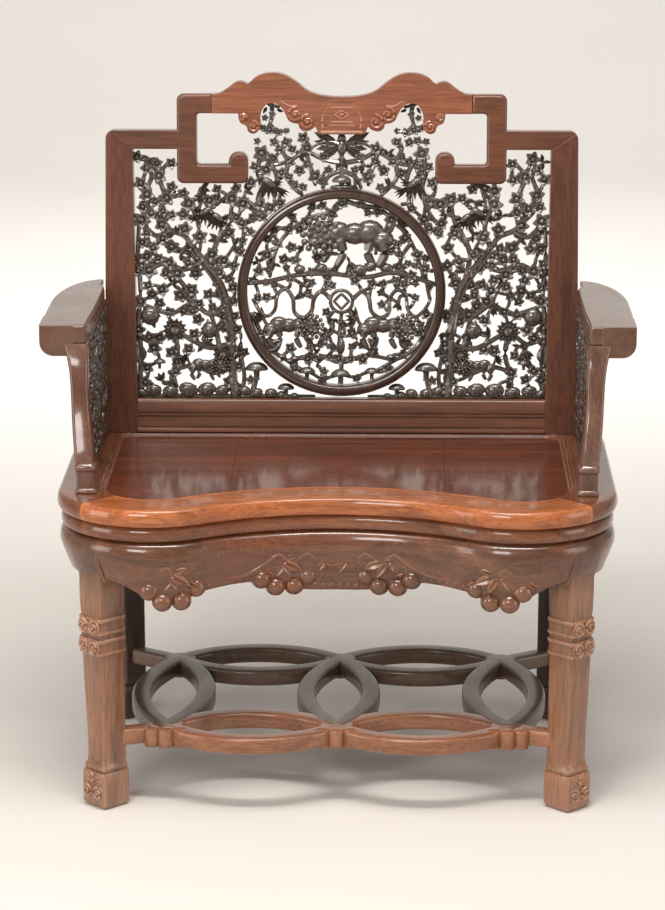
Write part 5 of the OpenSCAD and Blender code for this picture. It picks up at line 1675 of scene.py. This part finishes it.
@dataclass
class CentreBoard:
    """The spray of flowers, birds and a bat above the medallion, and the tufts at its foot."""

    ring: float = 0.1745
    ring_up: float = 0.237
    half: float = 0.1705

    def inside(self, x: float, up: float) -> bool:
        """Whether a point lies on the board, under the crest and the hook scrolls."""
        away = hypot(x, up - self.ring_up)
        top = 0.494 if abs(x) < 0.146 else 0.412
        return away > self.ring + 0.005 and self.ring_up < up < top

    def bat(self, work: Carving) -> None:
        """Carves the bat that hangs under the crest."""
        work.ball(0.0, 0.478, (0.0085, 0.0145, 0.008), 0.002)
        work.ball(0.0, 0.4935, (0.0075, 0.007, 0.006), 0.003)
        for sign in (-1, 1):
            for k in range(5):
                angle = 90 - sign * (62 + 19 * k)
                work.leaf(sign * 0.005, 0.482, angle, 0.046 - 0.004 * k, 0.002, 0.34)
            work.stem([(0.0, 0.482), (sign * 0.024, 0.4895), (sign * 0.05, 0.478)], 0.0036, 0.0022, 0.004,
                0.0)
            work.leaf(sign * 0.002, 0.463, 270 + sign * 18, 0.024, 0.001, 0.4)
        work.stem([(0.0, 0.5005), (0.0, 0.486)], 0.006, 0.005, 0.0, 0.0)
        work.stem(track(0, 470, 0, 440, 0, 412), 0.0042, 0.0042, 0.0, 0.0)
        work.fungus(0.0, 0.4235, 0.0165)
        work.ball(0.0, 0.4125, (0.02, 0.0045, 0.008), 0.002)

    def half_spray(self, work: Carving, sign: int) -> None:
        """Carves one half of the spray."""
        limbs = [
            track(0, 452, 30, 458, 60, 470, 88, 455, 116, 450, 133, 468),
            track(133, 468, 140, 440, 134, 410, 142, 376, 160, 350),
            track(88, 455, 92, 430, 78, 410, 66, 400),
            track(116, 450, 108, 425, 112, 390, 100, 384),
            track(60, 470, 50, 440, 44, 416),
            track(142, 376, 162, 390, 170, 366),
            track(0, 440, 22, 430, 32, 411),
            track(88, 455, 100, 478, 84, 490),
        ]
        for points in limbs:
            work.stem([(sign * x, up) for x, up in points], 0.0045, 0.0036, 0.0, 0.002)
        flowers = [(133, 468, 13), (86, 455, 9.5), (44, 430, 11.5), (57, 477, 10.5), (92, 487, 8.5),
            (112, 487, 8), (70, 440, 9.5), (144, 446, 8.5), (140, 488, 6.5), (164, 384, 12),
            (166, 352, 10), (100, 436, 8.5), (22, 441, 7.5), (150, 420, 9.5), (64, 412, 7.5),
            (30, 462, 8.5)]
        for x, up, radius in flowers:
            work.blossom(sign * x * MM, up * MM, radius * MM)
        work.bird(sign * 0.121, 0.42, 90 - sign * 55, 0.056, -sign)

    def foot(self, work: Carving, sign: int) -> None:
        """Carves one tuft between the medallion and the rail."""
        work.stem([(sign * x, up) for x, up in ((0.168, 0.06), (0.163, 0.095), (0.168, 0.13),
            (0.1685, 0.165))], 0.0046, 0.003)
        work.fungus(sign * 0.142, 0.108, 0.0195)
        work.fungus(sign * 0.093, 0.075, 0.0145)
        work.stem([(sign * 0.142, 0.095), (sign * 0.15, 0.062)], 0.0048, 0.0052)
        work.rocks([(sign * 0.162, 0.07, 0.011), (sign * 0.142, 0.066, 0.011),
            (sign * 0.118, 0.066, 0.011), (sign * 0.1, 0.063, 0.009), (sign * 0.078, 0.0615, 0.007)])
        work.blossom(sign * 0.163, 0.135, 0.0085)
        work.blossom(sign * 0.152, 0.088, 0.008)
        work.stem([(sign * x, 0.061) for x in (0.17, 0.12, 0.08, 0.045)], 0.0038, 0.0025, 0.0, 0.0)

    def build(self) -> None:
        """Makes and dresses the board."""
        work = Carving(seed=52)
        self.bat(work)
        for sign in (-1, 1):
            self.half_spray(work, sign)
            self.foot(work, sign)
        work.fill(self.inside, (-self.half, 0.3, self.half, 0.494), 1200, (0.0075, 0.0105), 0.86)
        work.finish("back_board_centre_carved", ["back_board_centre"])


@dataclass
class Medallion:
    """The round frame and the disc carved with three beasts, a ringed disc with ribbons, and flowers."""

    up: float = 0.237
    radius: float = 0.174
    band: float = 0.017
    front: float = -0.002
    back: float = 0.03

    def frame_profile(self) -> Plan:
        """Radius and depth of the frame's section."""
        inner = self.radius - self.band
        return [(inner, self.back), (inner, 0.003), (inner + 0.0008, 0.0005), (inner + 0.003, -0.0014),
            (inner + 0.006, self.front), (inner + 0.01, self.front + 0.0002), (inner + 0.0125, -0.0008),
            (inner + 0.0132, 0.0006), (inner + 0.0142, 0.0006), (inner + 0.0148, -0.0006),
            (inner + 0.0162, -0.0002), (self.radius, 0.002), (self.radius, self.back - 0.002),
            (self.radius - 0.002, self.back)]

    def build_frame(self) -> None:
        """Makes and dresses the round frame."""
        bm = bmesh.new()
        edges = add_loop(bm, [Vector((r, depth, self.up)) for r, depth in self.frame_profile()])
        geometry = edges + list({v for e in edges for v in e.verts})
        bmesh.ops.spin(bm, geom=geometry, cent=(0, 0, self.up), axis=(0, 1, 0), angle=tau, steps=144,
            use_merge=True)
        bmesh.ops.remove_doubles(bm, verts=bm.verts, dist=1e-6)
        lay_on_back(bm)
        finish_piece(bm, "medallion_frame_turned", RING_WOOD, ["medallion_frame"])

    def inside(self, x: float, up: float) -> bool:
        """Whether a point lies on the disc, clear of the frame."""
        return hypot(x, up - self.up) < self.radius - self.band - 0.004

    def coin(self, work: Carving) -> None:
        """Carves the ringed disc with a square window, and its two ribbons."""
        ring = arc((0.0, 0.2215), 0.0185, 0, 360, 28)
        work.stem(ring, 0.0032, 0.0032, 0.003, 0.0)
        corners = track(0, 234.5, 12.5, 221.5, 0, 208.5, -12.5, 221.5, 0, 234.5)
        for a, b in zip(corners, corners[1:]):
            work.stem([a, b], 0.0026, 0.0026, 0.003, 0.0)
        for sign in (-1, 1):
            ribbon = track(19, 226, 34, 238, 46, 226, 50, 205, 64, 194, 79, 203, 81, 226, 93, 241.5, 107,
                232, 111, 208, 124, 196, 138, 207, 148, 224.5)
            work.stem([(sign * x, up) for x, up in ribbon], 0.0042, 0.0032, 0.003, 0.003)
            tail = track(12, 206, 22, 190, 14, 172, 26, 158, 22, 142)
            work.stem([(sign * x, up) for x, up in tail], 0.0034, 0.0028, 0.002, 0.002)
            work.taken += [(sign * x, up, 0.008) for x, up in ribbon]
        work.taken.append((0.0, 0.2215, 0.022))

    def beasts(self, work: Carving) -> None:
        """Carves the large beast on its branch and the two below."""
        work.beast(0.022, 0.331, 0.1, -1)
        work.beast(-0.088, 0.178, 0.066, 1)
        work.beast(0.07, 0.178, 0.068, 1)
        ground = track(-157, 252, -120, 255, -70, 266, -20, 268, 40, 262, 90, 270, 157, 250)
        work.stem(ground, 0.0042, 0.0042, 0.001, 0.002)
        work.rocks([(-0.034, 0.277, 0.011), (0.03, 0.274, 0.013), (0.075, 0.277, 0.012),
            (-0.07, 0.275, 0.01), (0.048, 0.28, 0.012)])

    def garden(self, work: Carving) -> None:
        """Carves the twigs, fungi and listed flowers round the beasts."""
        limbs = [
            track(0, 392, -12, 372, -50, 362, -85, 340, -108, 310, -120, 262),
            track(0, 392, 30, 382, 62, 376, 94, 350, 116, 320, 132, 280, 136, 262),
            [(-0.108, 0.31), (-0.138, 0.3)], track(116, 320, 100, 296, 98, 272),
            [(-0.085, 0.34), (-0.11, 0.345)], [(0.132, 0.28), (0.152, 0.272)],
            track(-150, 200, -136, 170, -120, 142, -90, 120, -56, 100),
            track(150, 200, 138, 166, 120, 140, 90, 122, 52, 100),
            track(-90, 120, -40, 130, 0, 118, 40, 130, 90, 122),
            track(0, 118, 0, 96, 0, 83), track(0, 118, -4, 150, 0, 200),
            track(-52, 135, -50, 150, -58, 160), track(50, 130, 58, 150, 60, 160),
        ]
        for points in limbs:
            work.stem(points, 0.0044, 0.0034, 0.0, 0.002)
        for x, up, radius in ((-0.0575, 0.103, 0.0145), (-0.0015, 0.0985, 0.0165), (0.051, 0.103, 0.013),
                (-0.078, 0.125, 0.009), (0.083, 0.128, 0.009), (-0.1, 0.128, 0.0085)):
            work.fungus(x, up, radius, 0.004)
        work.leaf(-0.128, 0.138, 30, 0.034, 0.003, 0.75)
        work.leaf(0.112, 0.14, 120, 0.03, 0.003, 0.6)
        work.ball(0.0, 0.146, (0.0065, 0.0135, 0.007), 0.003)
        flowers = [(-57, 356, 10), (0, 386, 10), (-32, 382, 8), (32, 384, 8), (60, 372, 9), (84, 358, 12),
            (-88, 342, 9), (-106, 318, 9), (-124, 298, 10), (-96, 292, 9), (106, 328, 10), (126, 300, 10),
            (98, 300, 8.5), (140, 276, 9), (-138, 272, 9), (-84, 312, 9), (-140, 226, 8), (142, 200, 9),
            (-134, 168, 8), (130, 168, 8.5), (112, 150, 8), (16, 124, 7), (-20, 128, 7.5), (34, 148, 7.5),
            (-36, 148, 7)]
        for x, up, radius in flowers:
            work.blossom(x * MM, up * MM, radius * MM)

    def build(self) -> None:
        """Makes and dresses the frame and its carved disc."""
        self.build_frame()
        work = Carving(seed=63)
        self.beasts(work)
        self.coin(work)
        self.garden(work)
        work.fill(self.inside, (-0.157, 0.08, 0.157, 0.394), 1500, (0.0065, 0.0095), 0.9)
        work.finish("medallion_carving_carved", ["medallion_carving"])


# Arms


@dataclass
class Arm:
    """A flat arm with a rolled front end, its S-curved support and the openwork under it."""

    side: Side
    top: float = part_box("arm_rest_right")[1].z
    thick: float = 0.03
    inner: float = 0.393
    outer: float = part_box("arm_rest_right")[1].x
    front: float = -0.13
    softness: float = 0.006

    def plan(self) -> Plan:
        """Outline of the arm from above: straight outside, then a long curve in to the post."""
        outline = arc((self.inner + 0.006, self.front + 0.006), 0.006, 180, 270, 4)
        outline += arc((self.outer - 0.008, self.front + 0.008), 0.008, 270, 360, 5)
        outline += [(self.outer - 0.071 + 0.071 * cos(radians(a)), 0.06 + 0.19 * sin(radians(a)))
            for a in range(0, 90, 5)]
        outline += [(0.397, 0.25), (0.397, 0.205)]
        inner_side = [(0.396, 0.2), (0.3925, 0.19), (0.389, 0.17), (0.3885, 0.1), (0.3895, 0.0),
            (self.inner, -0.1)]
        return outline + inner_side

    def mirror(self, bm: BMesh) -> None:
        """Turns a right-hand piece into a left-hand one where this is the left arm."""
        if self.side is Side.LEFT:
            bmesh.ops.scale(bm, vec=(-1.0, 1.0, 1.0), verts=bm.verts)

    def rest(self) -> None:
        """Makes and dresses the flat arm."""
        bm = bmesh.new()
        plate(bm, self.plan(), self.top - self.thick, self.top, self.softness)
        for v in bm.verts:
            v.co = Vector((v.co.x, v.co.z, v.co.y))
        low, mid = self.top - 0.05, self.inner + 0.02
        outline = [(mid, self.top - 0.0002), (mid, low + 0.01)] + arc((mid + 0.01, low + 0.01), 0.01, 180,
            270, 5)
        outline += arc((self.outer - 0.0222, low + 0.022), 0.022, 270, 360, 8)
        outline += [(self.outer - 0.0002, self.top - 0.0002)]
        plate(bm, outline, self.front - 0.0002, self.front + 0.07, self.softness)
        self.mirror(bm)
        finish_piece(bm, f"arm_rest_{self.side.word}_rounded", ARM_WOOD, [f"arm_rest_{self.side.word}"],
            flat_faces=True)

    def support(self) -> None:
        """Makes and dresses the S-curved support on its moulded block."""
        seat = BACK_SEAT_Z
        block = [(seat + 0.0002, 392, -190, 33, 45), (seat + 0.0018, 392, -191, 34.5, 46.5),
            (seat + 0.0045, 392, -191, 34.5, 46.5), (seat + 0.0068, 392, -190, 33, 45),
            (seat + 0.0082, 392, -188.5, 30.5, 42.5), (seat + 0.02, 392.5, -187.6, 30.5, 42.2),
            (seat + 0.0345, 393, -187.4, 30.5, 42), (seat + 0.036, 393, -188.6, 32.5, 44),
            (seat + 0.0382, 393.3, -189.2, 34, 45), (seat + 0.042, 393.6, -189.2, 34, 45),
            (seat + 0.0442, 394, -188.4, 32.5, 43.5), (seat + 0.0458, 394.2, -186.6, 30, 41)]
        shaft = [(seat + 0.0458, 394.2, -186.6, 30, 41), (0.56, 396, -178.5, 30, 39.5),
            (0.58, 398, -170, 30, 38), (0.61, 401, -158, 29, 36), (0.64, 403, -150.5, 28, 34),
            (0.67, 404, -147.5, 28.5, 36), (0.695, 405.5, -144, 31, 41), (0.714, 408, -136.5, 35, 49),
            (self.top - self.thick, 411, -129.8, 37, 56)]
        rows = [Vector(row) for row in block[:-1]] + smooth_line(shaft, 4)
        loops = []
        for height, across, front, width, depth in rows:
            plan = rounded_box_plan(width * MM, depth * MM, 0.0062, 4)
            loops.append([Vector((across * MM + x, (front + depth / 2) * MM + y, height)) for x, y in plan])
        bm = bmesh.new()
        skin(bm, loops)
        self.mirror(bm)
        finish_piece(bm, f"arm_support_{self.side.word}_curved", SUPPORT_WOOD,
            [f"arm_support_{self.side.word}"], sharp=32)

    def panel_front(self, up: float) -> float:
        """Y of the panel's front edge, behind the support, at a height."""
        rows = track(500, -145, 546, -145, 580, -132, 610, -122, 640, -116, 670, -111, 700, -100, 727, -73.5)
        for (low, a), (high, b) in zip(rows, rows[1:]):
            if low <= up <= high:
                return a + (b - a) * (up - low) / (high - low)
        return rows[-1][1]

    def panel_rear(self, up: float) -> float:
        """Y of the panel's rear edge, at the post, at a height."""
        return BACK_Y + (up - BACK_SEAT_Z) * tan(LEAN)

    def panel(self) -> None:
        """Makes and dresses the openwork between support, seat, post and arm."""
        low, high = BACK_SEAT_Z + 0.001, self.top - self.thick - 0.001
        work = Carving(seed=70 + self.side.value, finish=PANEL_WOOD)
        steps = [low + 0.004 + (high - low - 0.008) * k / 8 for k in range(9)]
        work.stem([(self.panel_front(z) + 0.004, z) for z in steps], 0.0042, 0.0042, 0.0, 0.0)
        work.stem([(self.panel_rear(z) - 0.004, z) for z in steps], 0.0042, 0.0042, 0.0, 0.0)
        for z in (low + 0.004, high - 0.004):
            span = [self.panel_front(z) + (self.panel_rear(z) - self.panel_front(z)) * k / 6
                for k in range(7)]
            work.stem([(y, z) for y in span], 0.0042, 0.0042, 0.0, 0.0)
        limbs = [
            track(-140, 505, -100, 530, -60, 555, -20, 590, 0, 630, -20, 680, -50, 724),
            track(-60, 555, -90, 590, -100, 630, -85, 670, -90, 705),
            track(-20, 590, 30, 580, 75, 600, 120, 585, 170, 600, 225, 585),
            track(75, 600, 85, 640, 70, 680, 90, 724),
            track(120, 585, 150, 630, 190, 650, 228, 640),
            track(30, 580, 50, 540, 90, 520, 120, 505),
            track(90, 520, 140, 540, 190, 530, 221, 540),
            track(150, 630, 140, 670, 160, 700, 150, 724),
            track(0, 630, 40, 650, 70, 680),
        ]
        for points in limbs:
            work.stem(points, 0.0048, 0.0034, 0.0, 0.001)
        for y, z, radius in ((-0.06, 0.557, 0.013), (-0.02, 0.62, 0.013), (0.076, 0.602, 0.013),
                (0.15, 0.632, 0.012), (0.1, 0.525, 0.012), (-0.09, 0.64, 0.012), (0.19, 0.555, 0.012),
                (0.07, 0.68, 0.012)):
            work.blossom(y, z, radius, 0.0015)

        def inside(y: float, z: float) -> bool:
            """Whether a point lies on the panel."""
            return self.panel_front(z) + 0.01 < y < self.panel_rear(z) - 0.01 and low + 0.01 < z < high - 0.01

        work.fill(inside, (-0.14, low, 0.23, high), 500, (0.008, 0.0105), 1.0)
        node = f"arm_panel_{self.side.word}"
        away = self.side.value * (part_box("arm_panel_right")[0].x + 0.006)
        turn = Matrix(((0, -self.side.value, 0, away + self.side.value * BOARD_MID), (1, 0, 0, 0),
            (0, 0, 1, 0), (0, 0, 0, 1)))
        bmesh.ops.transform(work.bm, matrix=turn, verts=work.bm.verts)
        finish_piece(work.bm, f"{node}_carved", PANEL_WOOD, [node], sharp=50)

    def build(self) -> None:
        """Makes every piece of the arm."""
        self.rest()
        self.support()
        self.panel()


# Studio


@dataclass
class Studio:
    """A pale seamless sweep, soft lights and the camera."""

    floor_colour: Colour = (0.84, 0.815, 0.785)
    near_floor_shade_tint: Colour = (0.83, 0.805, 0.785)
    sweep_depth: float = 9.0
    sweep_radius: float = 3.0
    eye: tuple[float, float, float] = (0.092, -5.323, 1.841)
    down: float = 13.96
    turn: float = 1.1
    lens: float = 134.5

    def sweep(self) -> None:
        """Makes the floor that curves up into the backdrop, with painted shade darkening the floor near the
        chair.
        """
        profile = [(-16.0, 0.0), (self.sweep_depth - self.sweep_radius, 0.0)]
        profile += arc((self.sweep_depth - self.sweep_radius, self.sweep_radius), self.sweep_radius, 270,
            360, 24)[1:]
        profile += [(self.sweep_depth, 6.0)]
        bm = bmesh.new()
        edges = add_loop(bm, [Vector((-14.0, y, z)) for y, z in profile], closed=False)
        grown = bmesh.ops.extrude_edge_only(bm, edges=edges)["geom"]
        bmesh.ops.translate(bm, vec=(28.0, 0, 0), verts=[v for v in grown if isinstance(v, BMVert)])
        bmesh.ops.recalc_face_normals(bm, faces=bm.faces)
        mesh = bpy.data.meshes.new("backdrop")
        bm.to_mesh(mesh)
        bm.free()
        mesh.shade_smooth()
        sketch = NodeSketch("backdrop_paper")
        fibre = sketch.noise(sketch.add("TexCoord").outputs["Object"], 1.3, 3.0)
        low = tuple(part * 0.985 for part in self.floor_colour)
        colour = sketch.ramp(fibre, [(0.35, low), (0.65, self.floor_colour)])
        # Painted shade: the floor nearer than y 0.9 is multiplied darker, fading out by y 2.6.
        away = sketch.add("SeparateXYZ", {0: sketch.add("TexCoord").outputs["Object"]}).outputs["Y"]
        colour = sketch.mix(sketch.span(away, 0.9, 2.6, 0.0, 1.0), sketch.mix(
            1.0, colour, self.near_floor_shade_tint, "MULTIPLY"), colour)
        shader = sketch.add("BsdfPrincipled", {"Base Color": colour, "Roughness": 0.75,
            "Specular IOR Level": 0.2})
        sketch.add("OutputMaterial", {"Surface": shader.outputs["BSDF"]})
        mesh.materials.append(sketch.material)
        backdrop = bpy.data.objects.new("backdrop", mesh)
        bpy.context.collection.objects.link(backdrop)

    def softbox(self, name: str, place: Sequence[float], aim: Sequence[float], size: tuple[float, float],
            power: float, colour: Colour) -> None:
        """Adds a rectangular light.

        Args:
            name: Name of the light.
            place: Where it stands.
            aim: What it points at.
            size: Width and height.
            power: Watts.
            colour: Its tint.
        """
        lamp = bpy.data.lights.new(name, "AREA")
        lamp.shape = "RECTANGLE"
        lamp.size, lamp.size_y = size
        lamp.energy = power
        lamp.color = colour
        holder = bpy.data.objects.new(name, lamp)
        bpy.context.collection.objects.link(holder)
        ahead = Vector(aim) - Vector(place)
        holder.matrix_world = moved(place) @ ahead.to_track_quat("-Z", "Y").to_matrix().to_4x4()

    def lights(self) -> None:
        """Adds the key, the overhead bank, the strip over the seat, the sides, the backdrop's wash and the
        room."""
        self.softbox("key", (-1.4, -3.9, 2.4), (0, 0, 0.6), (1.5, 1.2), 74.0, (1.0, 0.975, 0.94))
        self.softbox("overhead", (0.0, -0.8, 3.1), (0, -0.1, 0), (2.6, 1.4), 40.0, (1.0, 0.97, 0.93))
        self.softbox("strip", (-0.05, -1.05, 2.6), (0, -0.25, 0.44), (1.3, 0.2), 30.0, (1.0, 0.98, 0.95))
        self.softbox("left_side", (-3.0, -1.5, 1.0), (0, 0, 0.45), (1.4, 1.8), 34.0, (1.0, 0.965, 0.92))
        self.softbox("right_side", (3.2, -1.3, 1.0), (0, 0, 0.45), (1.6, 1.8), 26.0, (1.0, 0.965, 0.93))
        self.softbox("backdrop_wash", (0.0, 2.6, 3.4), (0, 7.5, 0), (5.0, 1.6), 185.0, (1.0, 0.97, 0.935))
        world = bpy.data.worlds.new("soft_room")
        world.use_nodes = True
        background = world.node_tree.nodes["Background"]
        background.inputs["Color"].default_value = (1.0, 0.965, 0.925, 1.0)
        background.inputs["Strength"].default_value = 0.42
        bpy.context.scene.world = world

    def camera(self) -> None:
        """Adds the camera at the chair's front."""
        lens = bpy.data.cameras.new("viewpoint")
        lens.lens = self.lens
        lens.sensor_width = 36.0
        lens.clip_end = 60.0
        eye = bpy.data.objects.new("viewpoint", lens)
        eye.location = self.eye
        eye.rotation_euler = (radians(90 - self.down), 0.0, radians(self.turn))
        bpy.context.collection.objects.link(eye)
        bpy.context.scene.camera = eye

    def build(self) -> None:
        """Makes the whole studio."""
        self.sweep()
        self.lights()
        self.camera()
        bpy.context.scene.view_settings.view_transform = "Standard"


def main() -> None:
    logging.basicConfig(level=logging.INFO, format="%(name)s: %(message)s")
    SeatFrame().build()
    Waist().build()
    APRON.build()
    for row in Row:
        for side in Side:
            Leg(side, row).build()
    Lattice().build()
    BackFrame().build()
    Crest().build()
    for side in Side:
        SideBoard(side).build()
    CentreBoard().build()
    Medallion().build()
    for side in Side:
        Arm(side).build()
    Studio().build()


if __name__ == "__main__":
    main()
